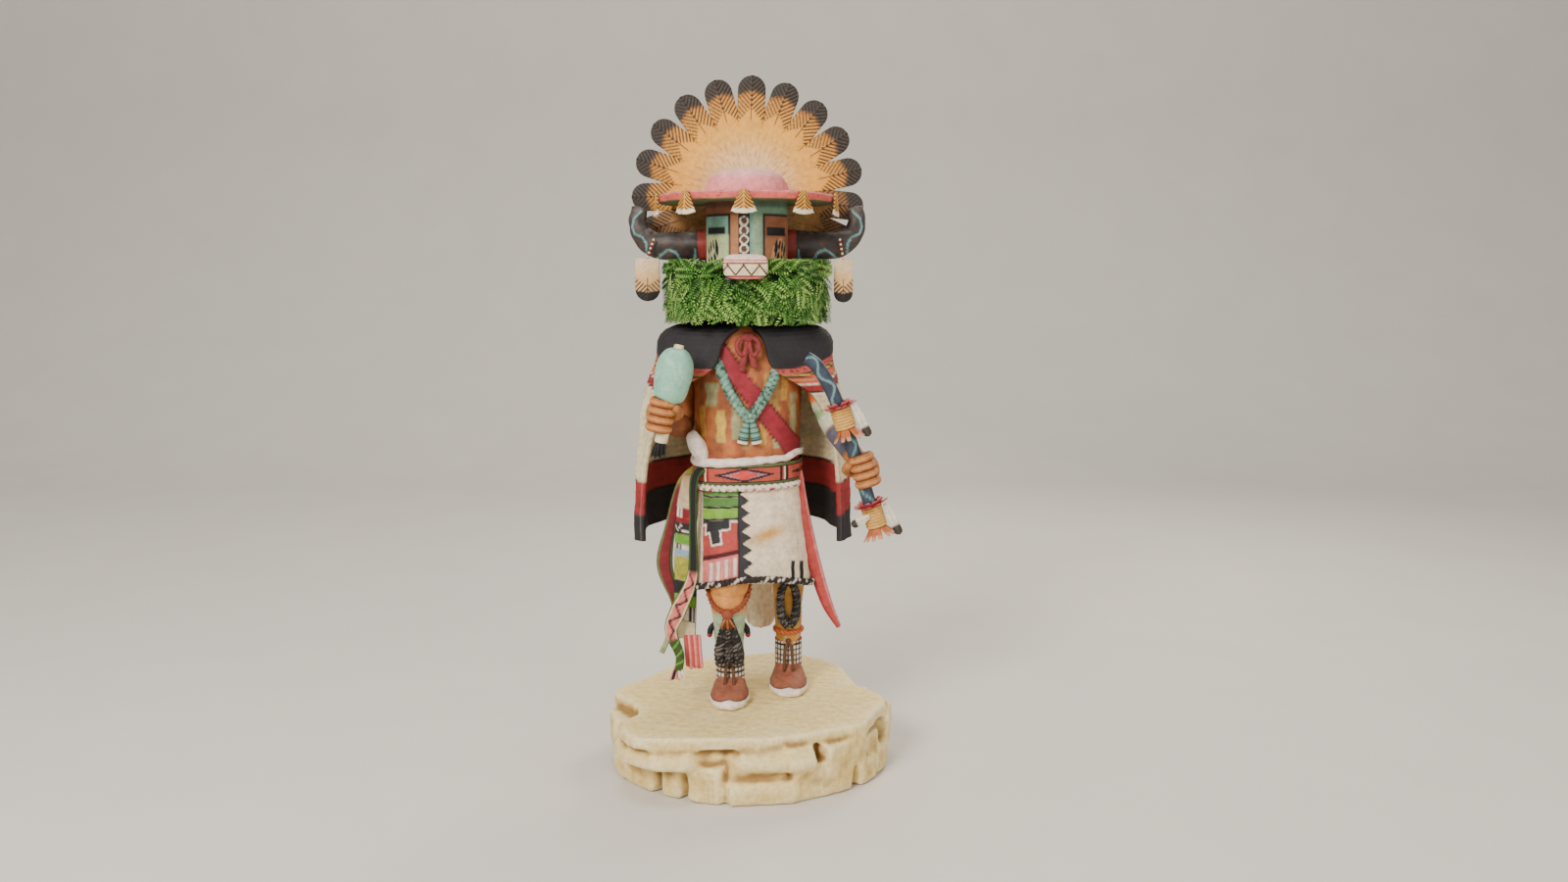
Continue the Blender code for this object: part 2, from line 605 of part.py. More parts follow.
def make_jewellery():
    shapes = []
    for side in (-1, 1):
        shapes.append(limb([(1.2 + 15.0 * side, -16.5, 176), (1.2 + 13.0 * side, -19.8, 168),
                            (1.2 + 8.5 * side, -20.8, 156), (1.6, -21.4, 147)],
                           [2.0, 2.0, 2.0, 2.0], 5, 1))
        shapes.append(limb([(1.8, -21.4, 148), (1.8 + 3.4 * side, -21.6, 133)], [2.0, 2.7], 5, 1))
        shapes.append(ribbon([(1.0, -21.6, 185.5), (1.0 + 4.2 * side, -22.6, 181), (1.4 + 4.4 * side, -21.8, 176)],
                             (1.5,), 1.2, 1))
    shapes.append(ellipsoid(at(1.0, -20.8, 186), (3.4 * UNIT, 3.0 * UNIT, 2.8 * UNIT), 8, 5))
    shapes.append(ribbon([(0, -20.8, 184), (-1.2, -21.4, 176), (-2.0, -20.8, 169)], (1.4,), 1.3, 1))
    return shapes


def staff_path():
    return smooth_path([at(*p) for p in STAFF_POINTS], 2)


def make_figure():
    shapes = make_torso() + make_kilt() + make_belt() + make_legs() + make_cape() + make_head()
    shapes += make_arms() + make_hangings() + make_fox_skin() + make_jewellery()
    foot, top = at(*HANDLE_FOOT), at(*HANDLE_TOP)
    axis = top - foot
    bore = HANDLE_RADIUS + FIT
    cuts = [
        lathe(foot - axis * 0.1, axis, ((0, bore), (axis.length * 0.7, bore)), 10),
        gourd(FIT),
        sweep(staff_path(), (STAFF_RADIUS + FIT, STAFF_RADIUS + FIT), 8, (0, 1, 0)),
        mesh_of([[Vector((x, y, z)) for x, y in ((-0.06, HEAD_BACK), (0.06, HEAD_BACK), (0.06, 0.06),
                                                 (-0.06, 0.06))]
                 for z in (at(0, 0, 226).z, at(0, 0, 290).z)]),
    ]
    return solid("figure", shapes, (0.55, 0.25, 0.12), 0.7, cuts)


# Crown of feathers behind the head
def crown_outline():
    """Round feather tips about the crown's centre, closed by a low bottom edge."""
    pitch = math.radians(18.7)
    tip = CROWN_TIP_WIDTH / 2
    lean = math.radians(2.6)
    centre_z = at(0, 0, CROWN_Z).z
    outline = []
    half = (CROWN_FEATHERS - 1) / 2
    for feather in range(CROWN_FEATHERS):
        a = lean + pitch * (feather - half)
        reach = CROWN_RADIUS - tip
        for step in range(5):
            b = math.radians(mix(-100, 100, step / 4))
            outline.append((math.sin(a) * reach + tip * math.sin(a + b),
                            math.cos(a) * reach + tip * math.cos(a + b)))
        if feather < CROWN_FEATHERS - 1:
            b = a + pitch / 2
            outline.append((math.sin(b) * CROWN_NOTCH_RADIUS, math.cos(b) * CROWN_NOTCH_RADIUS))
    foot = -0.36 * CROWN_RADIUS
    outline.append((0.74 * CROWN_RADIUS, foot - 0.0012))
    outline.append((0.30 * CROWN_RADIUS, foot + 0.0018))
    outline.append((-0.30 * CROWN_RADIUS, foot + 0.0018))
    outline.append((-0.74 * CROWN_RADIUS, foot - 0.0012))
    return [(x, z + centre_z) for x, z in outline]


def make_crown():
    front = HEAD_BACK + FIT
    return solid("feather_crown", [plate(crown_outline(), front, front + CROWN_THICKNESS)],
                 (0.85, 0.62, 0.36))


# Horns, snout and ruff, each fitted round the mask
def mask_cutter():
    return mesh_of([oval(at(0, 0, z), MASK_RADIUS + FIT, MASK_RADIUS + FIT, 18) for z in (180, 270)])


def make_horn(name, side):
    points = ((14, 4, 231), (35.5, 4, 230.5), (46, 4, 231.4), (52.6, 4, 236), (54.4, 4, 242.5),
              (53.2, 4, 247.8), (51.4, 4, 250.8))
    heights = (7.5, 7.2, 6.6, 5.8, 4.9, 4.2, 2.6)
    path = smooth_path([at(side * x, y, z) for x, y, z in points], 2)

    def size(share):
        place = share * (len(heights) - 1)
        i = min(int(place), len(heights) - 2)
        high = mix(heights[i], heights[i + 1], place - i) * UNIT
        return high * HORN_DEPTH / (2 * heights[0] * UNIT), high

    return solid(name, [sweep(path, size, 10, (0, 1, 0))], (0.10, 0.10, 0.12), cuts=[mask_cutter()])


def make_snout():
    middle = at(0.4, 0, 220)
    back = -MASK_RADIUS + 0.002
    rings = []
    for y, grow in ((back, 0.94), (back - 0.3 * SNOUT_LENGTH, 0.97), (back - 0.8 * SNOUT_LENGTH, 1.0),
                    (back - 1.02 * SNOUT_LENGTH, 0.97), (back - 1.1 * SNOUT_LENGTH, 0.86)):
        ring = []
        for k in range(16):
            a = math.tau * k / 16
            ring.append(middle + Vector((SNOUT_WIDTH / 2 * grow * signed_power(math.cos(a), 0.55), y,
                                         SNOUT_HEIGHT / 2 * grow * signed_power(math.sin(a), 0.55))))
        rings.append(ring)
    return solid("snout", [mesh_of(rings)], (0.80, 0.66, 0.50), cuts=[mask_cutter()])


def ruff_ring(z, half_width, half_depth, bump, phase, sides=28):
    """One level of the ruff; sprays of leaves stand out at every second point."""
    ring = []
    for k in range(sides):
        a = math.tau * k / sides
        grow = 1 + bump * (1 if (k + phase) % 2 else -1)
        ring.append(Vector((half_width * grow * math.sin(a), -half_depth * grow * math.cos(a), z)))
    return ring


def make_ruff():
    bottom = at(0, 0, SHOULDER_Z).z + FIT
    top = at(0, 0, RUFF_TOP_Z).z
    tall = top - bottom
    w, d = RUFF_WIDTH / 2, RUFF_DEPTH / 2
    rings = [
        ruff_ring(bottom, 0.80 * w, 0.80 * d, 0.02, 0), ruff_ring(bottom + 0.12 * tall, 0.97 * w, 0.97 * d, 0.035, 1),
        ruff_ring(bottom + 0.38 * tall, 0.93 * w, 0.95 * d, 0.035, 0),
        ruff_ring(bottom + 0.66 * tall, 0.95 * w, 0.94 * d, 0.035, 1),
        ruff_ring(bottom + 0.90 * tall, 0.93 * w, 0.90 * d, 0.035, 0), ruff_ring(top, 0.70 * w, 0.70 * d, 0.03, 1),
    ]
    hole = mask_cutter()
    middle = at(0.4, 0, 220)
    half_width, half_height = SNOUT_WIDTH / 2 + FIT, SNOUT_HEIGHT / 2 + FIT
    notch = mesh_of([
        [middle + Vector((sx * half_width, y, sz * half_height)) for sx, sz in ((-1, -1), (1, -1), (1, 3), (-1, 3))]
        for y in (-0.06, 0)
    ])
    return solid("evergreen_ruff", [mesh_of(rings)], (0.10, 0.36, 0.06), 0.6, [hole, notch])


# Rattle and staff
def gourd(room):
    """The rattle's gourd, grown by room for a cutter."""
    foot, top = at(*HANDLE_FOOT), at(*HANDLE_TOP)
    profile = ((0, 0.45), (0.10, 0.80), (0.32, 0.97), (0.60, 1.0), (0.86, 0.82), (0.97, 0.55), (1.0, 0.30))
    return lathe(foot.lerp(top, GOURD_START), top - foot,
                 [(share * GOURD_LENGTH + (room if share > 0.5 else -room), r * GOURD_RADIUS + room)
                  for share, r in profile])


def make_rattle():
    foot, top = at(*HANDLE_FOOT), at(*HANDLE_TOP)
    axis = (top - foot).normalized()
    reach = (top - foot).length
    shapes = [
        lathe(foot, axis, ((0, HANDLE_RADIUS), (reach * 0.5, 0.95 * HANDLE_RADIUS),
                           (reach * 0.8, 0.8 * HANDLE_RADIUS), (reach, 0.72 * HANDLE_RADIUS)), 10),
        gourd(0),
        ellipsoid(foot - axis * 0.0042 + Vector((0.0006, 0.0008, 0)), (0.0042, 0.0036, 0.0056), 8, 5),
    ]
    return solid("rattle", shapes, (0.35, 0.62, 0.52), 0.5)


def bundle(middle, axis, petals=7):
    """A wrapped bundle on the staff: a ruffle above, a cord binding, and petals below."""
    across = axis.orthogonal().normalized()
    deep = axis.cross(across)

    def star(s, radius, wave):
        ring = []
        for k in range(2 * petals):
            a = math.tau * k / (2 * petals)
            r = radius * (1 + (wave if k % 2 else -wave))
            ring.append(middle + axis * s + (across * math.cos(a) + deep * math.sin(a)) * r)
        return ring

    profile = ((0.0098, 0.0078, 0.13), (0.0080, 0.0088, 0.15), (0.0044, 0.0051, 0.0),
               (-0.0040, 0.0051, 0.0), (-0.0104, 0.0092, 0.16), (-0.0112, 0.0080, 0.16))
    return mesh_of([star(*level) for level in profile])


def quill(top, tip, half_width, half_depth=0.0011):
    path = [top.lerp(tip, s) for s in (0, 0.35, 0.8, 1)]
    return sweep(path, lambda s: (half_width * (0.55 + 1.3 * s * (1.06 - s) * 1.2), half_depth), 6, (0, 1, 0))


def make_staff():
    path = staff_path()
    shapes = [sweep(path, (STAFF_RADIUS, STAFF_RADIUS), 8, (0, 1, 0))]
    upper, lower = at(47.0, -33, 147.6), at(62.4, -33, 99.6)
    axis = (at(*STAFF_POINTS[4]) - at(*STAFF_POINTS[6])).normalized()
    for middle in (upper, lower):
        shapes.append(bundle(middle, axis))
        shapes.append(quill(middle + Vector((0.0050, -0.0022, 0.0070)), middle + Vector((0.0122, -0.0026, -0.0078)),
                            0.0020))
    shapes.append(quill(lower + Vector((-0.0020, -0.0036, 0.0010)), lower + Vector((-0.0112, -0.0056, -0.0034)),
                        0.0020))
    return solid("crook_staff", shapes, (0.16, 0.20, 0.26), 0.5)


# Feather pendants on the horns and feather tassels on the brim
def make_pendant(name, side, hang, width):
    """A feather on a bead string; hang is where the string starts and the feather's top, in units."""
    x_top, z_top, z = hang
    x = (RUFF_WIDTH / 2 + PENDANT_GAP + width / 2) / UNIT
    y = 4 - 0.5 * HORN_DEPTH / UNIT - 1.2
    string = [at(side * x_top, y, z_top), at(side * mix(x_top, x, 0.5), y, mix(z_top, z, 0.5)), at(side * x, y, z)]
    cord = sweep(string, (0.0007, 0.0007), 6)
    foot = at(side * x, y, z)
    outline = []
    low = foot.z - PENDANT_LENGTH
    for step in range(9):
        a = math.pi * step / 8
        outline.append((foot.x - width / 2 * math.cos(a), low + width * 0.45 * (1 - math.sin(a))))
    outline.append((foot.x + 0.49 * width, foot.z - 0.0022))
    outline.append((foot.x + 0.36 * width, foot.z + 0.0002))
    outline.append((foot.x - 0.38 * width, foot.z + 0.0004))
    outline.append((foot.x - 0.49 * width, foot.z - 0.0016))
    half = PENDANT_THICKNESS / 2
    feather = plate(outline, foot.y - half, foot.y + half)
    return solid(name, [feather, cord], (0.80, 0.66, 0.46))


def make_brim_tassel(name, direction):
    """A small fan of down hung from the brim's edge."""
    top = at(0, 0, BRIM_Z).z + BRIM_THICKNESS + 0.0002
    bottom = top - TASSEL_LENGTH
    near = BRIM_RADIUS + FIT
    rings = []
    for share, half in ((0, 0.20), (0.5, 0.34), (0.88, 0.50), (1.0, 0.44)):
        z = mix(top, bottom, share)
        wide = half * TASSEL_WIDTH
        thick = TASSEL_THICKNESS * (0.8 + 0.5 * share)
        rings.append([Vector((wide * math.sin(b), -near - thick / 2 - thick / 2 * math.cos(b), z))
                      for b in (math.tau * k / 8 for k in range(8))])
    mesh = mesh_of(rings)
    mesh.transform(Matrix.Translation(Vector((0, -TASSEL_WIDTH * 0.03, 0))))
    mesh.transform(Matrix.Rotation(math.radians(direction), 4, "Z"))
    return solid(name, [mesh], (0.85, 0.58, 0.22))


def main():
    for old in list(bpy.data.objects):
        bpy.data.objects.remove(old)
    make_base()
    make_figure()
    make_crown()
    make_horn("horn_right", -1)
    make_horn("horn_left", 1)
    make_snout()
    make_ruff()
    make_rattle()
    make_staff()
    make_pendant("pendant_feather_right", -1, (46.2, 234.5, 224.0), PENDANT_WIDTH_RIGHT)
    make_pendant("pendant_feather_left", 1, (44.5, 234.5, 223.4), PENDANT_WIDTH_LEFT)
    for number, direction in enumerate((-78, -38, 0, 38, 78), 1):
        make_brim_tassel(f"brim_tassel_{number}", direction)


main()
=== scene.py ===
"""Looks of the kachina doll: carved and painted wood, woven cloth, feathers, sprigs and a rock ledge."""

import math
import random
from functools import partial

import bpy
import numpy as np
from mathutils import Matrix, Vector


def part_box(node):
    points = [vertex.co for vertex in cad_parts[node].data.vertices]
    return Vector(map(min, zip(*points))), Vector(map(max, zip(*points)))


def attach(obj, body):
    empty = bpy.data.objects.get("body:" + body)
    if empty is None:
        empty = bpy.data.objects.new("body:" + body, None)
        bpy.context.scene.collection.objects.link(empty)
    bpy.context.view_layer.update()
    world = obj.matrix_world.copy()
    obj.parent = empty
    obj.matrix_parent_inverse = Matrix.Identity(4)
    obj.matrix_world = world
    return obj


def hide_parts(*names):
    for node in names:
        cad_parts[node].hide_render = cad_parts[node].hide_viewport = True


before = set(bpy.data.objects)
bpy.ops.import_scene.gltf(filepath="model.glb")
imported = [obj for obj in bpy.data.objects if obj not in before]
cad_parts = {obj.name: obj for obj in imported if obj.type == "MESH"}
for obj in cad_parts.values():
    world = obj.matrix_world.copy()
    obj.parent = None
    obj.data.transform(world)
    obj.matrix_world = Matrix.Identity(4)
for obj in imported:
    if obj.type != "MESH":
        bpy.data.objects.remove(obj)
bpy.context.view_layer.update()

# The dancer's soles and the base's top are taken from the CAD parts; the dancer is 268 units tall
FIGURE_HEIGHT = 0.268
UNIT = FIGURE_HEIGHT / 268
SOLE_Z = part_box("figure")[0][2]
BASE_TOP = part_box("base")[1][2]
MM = 0.001


def at(x, y, z):
    """A place, or a grid of places, given in units from the middle of the soles; in metres."""
    return np.stack([x * UNIT, y * UNIT, SOLE_Z + z * UNIT], axis=-1)


def unit(way):
    return way / np.linalg.norm(way)


def square_part(way, axis):
    """The part of a direction that is square to an axis, as a unit vector."""
    return unit(way - way.dot(axis) * axis)


def square_to(axis):
    """Two unit vectors square to an axis and to each other."""
    across = unit(np.cross(axis, [0, 1, 0]))
    return across, np.cross(axis, across)


def run_of(path):
    """Length along a path at each of its points."""
    return np.concatenate([[0], np.cumsum(np.linalg.norm(np.diff(path, axis=0), axis=1))])


def paint(red, green, blue):
    """A colour from its screen values, 0 to 255, as linear light."""
    return tuple(((c / 255 + 0.055) / 1.055) ** 2.4 if c > 10 else c / 255 / 12.92 for c in (red, green,
                                                                                             blue))


RUST = paint(150, 92, 56)
ORANGE = paint(196, 112, 48)
OCHRE = paint(196, 148, 66)
TURQUOISE = paint(112, 154, 138)
PALE_GREEN = paint(176, 190, 140)
BLACK = paint(24, 22, 24)
CHARCOAL = paint(52, 50, 54)
WHITE = paint(226, 218, 200)
CREAM = paint(220, 204, 166)
RED = paint(152, 46, 46)
CRIMSON = paint(134, 28, 34)
PINK = paint(224, 138, 140)
SALMON = paint(200, 90, 80)
GREEN = paint(112, 166, 56)
OLIVE = paint(98, 108, 62)
PALE_BLUE = paint(150, 180, 200)
YELLOW = paint(206, 176, 74)
SLATE = paint(48, 60, 78)
HORN = paint(50, 42, 42)
BLUE_LINE = paint(98, 140, 142)
SKIN = paint(176, 96, 44)
HAND = paint(164, 104, 56)
GREY_GREEN = paint(150, 158, 118)
MOCCASIN = paint(142, 86, 64)
GOURD = paint(136, 190, 166)
BARK = paint(92, 58, 34)
MASK_ORANGE = paint(168, 116, 78)
MASK_PANEL = paint(142, 86, 58)
GOLD = paint(226, 164, 66)
WORN_WHITE = paint(232, 218, 206)


# Shapes as grids of points
def ease(rows, count):
    """A Catmull-Rom curve through rows of numbers, count rows in all."""
    rows = np.asarray(rows, float)
    place = np.linspace(0, len(rows) - 1, count)
    i = np.minimum(place.astype(int), len(rows) - 2)
    t = (place - i)[:, None]
    a, b, c, d = (rows[np.clip(i + k, 0, len(rows) - 1)] for k in (-1, 0, 1, 2))
    return 0.5 * (2 * b + (c - a) * t + (2 * a - 5 * b + 4 * c - d) * t**2 + (3 * b - a - 3 * c + d) * t**3)


def step(t):
    t = np.clip(t, 0, 1)
    return t * t * (3 - 2 * t)


def powered(value, power):
    return np.sign(value) * np.abs(value) ** power


def turns(around):
    """Angles round an upright axis in degrees, 0 at the front and 90 at the figure's left."""
    return np.linspace(-180, 180, around, endpoint=False)


def ovals(levels, rows, around, power=2.0):
    """Level rings through (x, y, z, half width, half depth); returns points, angles and heights."""
    levels = ease(levels, rows)
    angle = np.radians(turns(around))
    x = levels[:, 0:1] + levels[:, 3:4] * powered(np.sin(angle), 2 / power)
    y = levels[:, 1:2] - levels[:, 4:5] * powered(np.cos(angle), 2 / power)
    z = np.broadcast_to(levels[:, 2:3], x.shape)
    return at(x, y, z), np.broadcast_to(np.degrees(angle), x.shape), z


def frames_along(path, wide):
    """Unit vectors square to a path at each of its points: one nearest to wide, and one square to that."""
    along = np.gradient(path, axis=0)
    along /= np.linalg.norm(along, axis=1)[:, None]
    wide = np.array(wide, float)
    across = wide - (along @ wide)[:, None] * along
    across /= np.linalg.norm(across, axis=1)[:, None]
    return across, np.cross(along, across)


def tube(path, sizes, around=14, wide=(1, 0, 0), power=2.0):
    """Rings along a path in metres; sizes has (half width along wide, half depth) for each point."""
    path = np.asarray(path, float)
    sizes = np.broadcast_to(np.asarray(sizes, float), (len(path), 2))
    across, deep = frames_along(path, wide)
    angle = np.linspace(0, math.tau, around, endpoint=False)
    c, s = powered(np.cos(angle), 2 / power), powered(np.sin(angle), 2 / power)
    return (path[:, None] + across[:, None] * (sizes[:, :1] * c)[..., None]
            + deep[:, None] * (sizes[:, 1:] * s)[..., None])


def route(points, count):
    """A smooth path through points given in units of the dancer."""
    return ease([at(*p) for p in points], count)


def rounded(sizes, count, tip=0.12):
    """Sizes eased along a path, closing over its last and first stretch."""
    sizes = ease(sizes, count)
    s = np.linspace(0, 1, count)
    close = np.sqrt(np.clip(np.minimum(s, 1 - s) / tip, 0.0, 1))
    return sizes * np.clip(close, 0.08, 1)[:, None]


def cord(points, sizes, count, tip, around):
    """A round-ended cord through points given in units; sizes are its (half width, half depth)."""
    return tube(route(points, count), rounded(sizes, count, tip) * UNIT, around)


def along_of(points):
    """Length along a grid's rows, in metres, for each of its points."""
    return np.broadcast_to(run_of(points.mean(axis=1))[:, None], points.shape[:2])


def normals_of(points, wrapped):
    across = np.roll(points, -1, 1) - np.roll(points, 1, 1) if wrapped else np.gradient(points, axis=1)
    normal = np.cross(across, np.gradient(points, axis=0))
    return normal / np.maximum(np.linalg.norm(normal, axis=2), 1e-12)[..., None]


def raise_by(points, height, wrapped=True):
    """Move each point out by its height, in metres."""
    return points + normals_of(points, wrapped) * np.asarray(height)[..., None]


def mottle(points, size, seed=0, waves=14):
    """Smooth random ups and downs from about -1 to 1, size apart."""
    dice = np.random.default_rng(seed)
    total = np.zeros(points.shape[:-1])
    for _ in range(waves):
        way = dice.normal(size=3)
        way *= math.tau / (size * dice.uniform(0.7, 1.8) * np.linalg.norm(way))
        total += np.sin(points @ way + dice.uniform(0, math.tau))
    return total / math.sqrt(waves)


# Painting: every mask runs from 0 to 1 over the same grid as the points
def fill(shape, colour):
    return np.broadcast_to(np.array(colour, float), (*shape, 3)).copy()


def lay(under, colour, mask):
    """Paint a colour over what is there, where the mask is 1."""
    colour = np.asarray(colour, float)
    return under + (colour - under) * np.asarray(mask)[..., None]


def inside(v, low, high, soft=0.15):
    return np.clip((v - low) / soft + 0.5, 0, 1) * np.clip((high - v) / soft + 0.5, 0, 1)


def box(x, y, x0, x1, y0, y1, soft=0.15):
    return inside(x, x0, x1, soft) * inside(y, y0, y1, soft)


def near_zero(value, half, soft):
    """1 where a value is less than half away from zero."""
    return np.clip((half - np.abs(value)) / soft + 0.5, 0, 1)


def saw(value):
    """Up and down between 0 and 1, once in each whole number."""
    return np.abs((value % 1) - 0.5) * 2


def near_line(x, y, ends, width, soft=0.15):
    """A straight stroke between two points."""
    (x0, y0), (x1, y1) = ends
    dx, dy = x1 - x0, y1 - y0
    t = np.clip(((x - x0) * dx + (y - y0) * dy) / (dx * dx + dy * dy), 0, 1)
    return np.clip((width / 2 - np.hypot(x - x0 - t * dx, y - y0 - t * dy)) / soft + 0.5, 0, 1)


def leaf(x, y, low, high, width, soft=0.15):
    """A pointed stroke, widest at its middle."""
    (x0, y0), (x1, y1) = low, high
    dx, dy = x1 - x0, y1 - y0
    length = math.hypot(dx, dy)
    t = ((x - x0) * dx + (y - y0) * dy) / length**2
    off = np.abs((x - x0) * dy - (y - y0) * dx) / length
    half = width / 2 * np.sin(math.pi * np.clip(t, 0, 1)) ** 0.8
    return np.clip((half - off) / soft + 0.5, 0, 1) * ((t > 0) & (t < 1))


def brushed(colour, points, strength=0.12, size=0.006, seed=1):
    """Uneven paint: slow changes of tone and finer grime."""
    tone = 1 + strength * mottle(points, size, seed) + 0.5 * strength * mottle(points, size / 5, seed + 1)
    return np.clip(colour * tone[..., None], 0, 1)


# Materials
def node(tree, kind, **values):
    made = tree.nodes.new(kind)
    for key, value in values.items():
        if hasattr(made, key):
            setattr(made, key, value)
        else:
            made.inputs[key.replace("_", " ")].default_value = value
    return made


def painted(name, rough=0.62, weave=0.0, pitch=0.0006, tool=0.25, tool_size=0.0016, shine=0.35):
    """Painted wood: its colour is on the mesh; cloth weave and tool marks are bumps of real size."""
    material = bpy.data.materials.new(name)
    material.use_nodes = True
    tree = material.node_tree
    link = tree.links.new
    shader = tree.nodes["Principled BSDF"]
    colour = node(tree, "ShaderNodeAttribute", attribute_name="paint")
    place = node(tree, "ShaderNodeTexCoord")
    grime = node(tree, "ShaderNodeTexNoise", Scale=420, Detail=5.0, Roughness=0.65)
    link(place.outputs["Object"], grime.inputs["Vector"])
    tone = node(tree, "ShaderNodeMapRange")
    tone.inputs["From Min"].default_value = 0.3
    tone.inputs["From Max"].default_value = 0.7
    tone.inputs["To Min"].default_value = 0.78
    tone.inputs["To Max"].default_value = 1.12
    link(grime.outputs["Fac"], tone.inputs["Value"])
    scaled = node(tree, "ShaderNodeVectorMath", operation="SCALE")
    link(colour.outputs["Color"], scaled.inputs[0])
    link(tone.outputs["Result"], scaled.inputs["Scale"])
    link(scaled.outputs["Vector"], shader.inputs["Base Color"])
    gloss = node(tree, "ShaderNodeMapRange")
    gloss.inputs["To Min"].default_value = rough - 0.10
    gloss.inputs["To Max"].default_value = rough + 0.14
    link(grime.outputs["Fac"], gloss.inputs["Value"])
    link(gloss.outputs["Result"], shader.inputs["Roughness"])
    shader.inputs["Specular IOR Level"].default_value = shine
    marks = node(tree, "ShaderNodeTexNoise", Scale=1 / tool_size, Detail=3.0, Roughness=0.55)
    link(place.outputs["Object"], marks.inputs["Vector"])
    bump = node(tree, "ShaderNodeBump", Strength=tool, Distance=0.0004)
    link(marks.outputs["Fac"], bump.inputs["Height"])
    last = bump
    if weave:
        threads = [
            node(tree, "ShaderNodeTexWave", wave_type="BANDS", bands_direction=way,
                 Scale=math.tau / pitch / 20)
            for way in ("X", "Y")
        ]
        for thread in threads:
            link(place.outputs["UV"], thread.inputs["Vector"])
        cloth = node(tree, "ShaderNodeMath", operation="MULTIPLY")
        link(threads[0].outputs["Fac"], cloth.inputs[0])
        link(threads[1].outputs["Fac"], cloth.inputs[1])
        last = node(tree, "ShaderNodeBump", Strength=weave, Distance=0.0003)
        link(cloth.outputs["Value"], last.inputs["Height"])
        link(bump.outputs["Normal"], last.inputs["Normal"])
    link(last.outputs["Normal"], shader.inputs["Normal"])
    return material


# Meshes
# The share of a large grid's rows and columns that a piece keeps
FINENESS = 0.55
PIECE_FINENESS = {"crown_feathers": 0.48, "mask": 0.74, "belt_end_front": 0.95, "torso": 0.64}
SMALL_GRID = 24


def thinned(points, colour, share):
    """The grid with fewer rows and columns; a side that is small already stays whole."""
    kept = []
    for count in points.shape[:2]:
        left = count if count <= SMALL_GRID else max(SMALL_GRID, int(count * share))
        kept.append(np.round(np.linspace(0, count - 1, left)).astype(int))
    chosen = np.ix_(*kept)
    return points[chosen], colour[chosen]


def piece(name, grids, material, replaced):
    """One piece from grids of (points, colours, wrapped, capped); it stands for CAD nodes."""
    verts, colours, faces, uvs = [], [], [], []
    start = 0
    for points, colour, wrapped, capped in grids:
        colour = np.broadcast_to(np.asarray(colour, float), points.shape)
        points, colour = thinned(points, colour, PIECE_FINENESS.get(name, FINENESS))
        rows, cols = points.shape[:2]
        verts.append(points.reshape(-1, 3))
        colours.append(colour.reshape(-1, 3))
        index = np.arange(rows * cols).reshape(rows, cols) + start
        ring = np.concatenate([points, points[:, :1]], axis=1) if wrapped else points
        middle = ring[rows // 2]
        u = run_of(middle)
        v = along_of(points)[:, 0]
        right = np.roll(index, -1, 1) if wrapped else index[:, 1:]
        left = index if wrapped else index[:, :-1]
        quads = np.stack([left[:-1], right[:-1], right[1:], left[1:]], axis=-1)
        faces += quads.reshape(-1, 4).tolist()
        wide = quads.shape[1]
        u0, u1 = np.broadcast_to(u[:wide], quads.shape[:2]), np.broadcast_to(u[1:wide + 1], quads.shape[:2])
        v0, v1 = (np.broadcast_to(part[:, None], quads.shape[:2]) for part in (v[:-1], v[1:]))
        uvs.append(np.stack([u0, v0, u1, v0, u1, v1, u0, v1], axis=-1).reshape(-1, 2))
        if capped:
            faces += [index[0][::-1].tolist(), index[-1].tolist()]
            uvs.append(np.zeros((2 * cols, 2)))
        start += rows * cols
    mesh = bpy.data.meshes.new(name)
    mesh.from_pydata(np.concatenate(verts).tolist(), [], faces)
    mesh.uv_layers.new(name="weave").data.foreach_set("uv", np.concatenate(uvs).ravel())
    return finish_piece(name, mesh, np.concatenate(colours), material, replaced)


def finish_piece(name, mesh, colours, material, replaced):
    layer = mesh.color_attributes.new(name="paint", type="FLOAT_COLOR", domain="POINT")
    layer.data.foreach_set("color", np.concatenate([colours, np.ones((len(colours), 1))], axis=1).ravel())
    mesh.materials.append(material)
    mesh.shade_smooth()
    mesh.validate()
    made = bpy.data.objects.new(name, mesh)
    bpy.context.scene.collection.objects.link(made)
    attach(made, "root")
    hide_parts(replaced)
    return made


def closed(points, colour):
    """A grid that is wrapped round and capped at both ends."""
    return points, colour, True, True


def plain(points, colour, *brush):
    """A closed grid in one colour, brushed with the given strength, size and seed."""
    return closed(points, brushed(fill(points.shape[:2], colour), points, *brush))


def stud(centre, size, rows=9, around=12):
    """A small ball grid."""
    a = np.linspace(0.12, math.pi - 0.12, rows)
    b = np.linspace(0, math.tau, around, endpoint=False)
    size = np.broadcast_to(np.asarray(size, float), (3,))
    ball = np.stack([np.sin(a)[:, None] * np.cos(b), np.sin(a)[:, None] * np.sin(b),
                     np.broadcast_to(-np.cos(a)[:, None], (rows, around))], axis=-1)
    return np.asarray(centre) + ball * size


WOOD = painted("painted_wood", 0.6, tool=0.35)
CLOTH = painted("painted_cloth", 0.72, weave=0.55, pitch=0.0007, tool=0.25)
FINE_CLOTH = painted("painted_fine_cloth", 0.7, weave=0.4, pitch=0.0005, tool=0.25)
HORN_PAINT = painted("horn_paint", 0.5, tool=0.5, tool_size=0.0022, shine=0.45)
FEATHER = painted("feather_paint", 0.62, tool=0.2, tool_size=0.0009)
GOURD_PAINT = painted("gourd_paint", 0.48, tool=0.3, tool_size=0.003, shine=0.5)
BASE_WOOD = painted("base_wood", 0.6, tool=0.3, tool_size=0.0035)
LEAF = painted("evergreen", 0.45, tool=0.15, tool_size=0.0010, shine=0.5)


def figure_piece(name, grids, material=WOOD):
    return piece(name, grids, material, "figure")



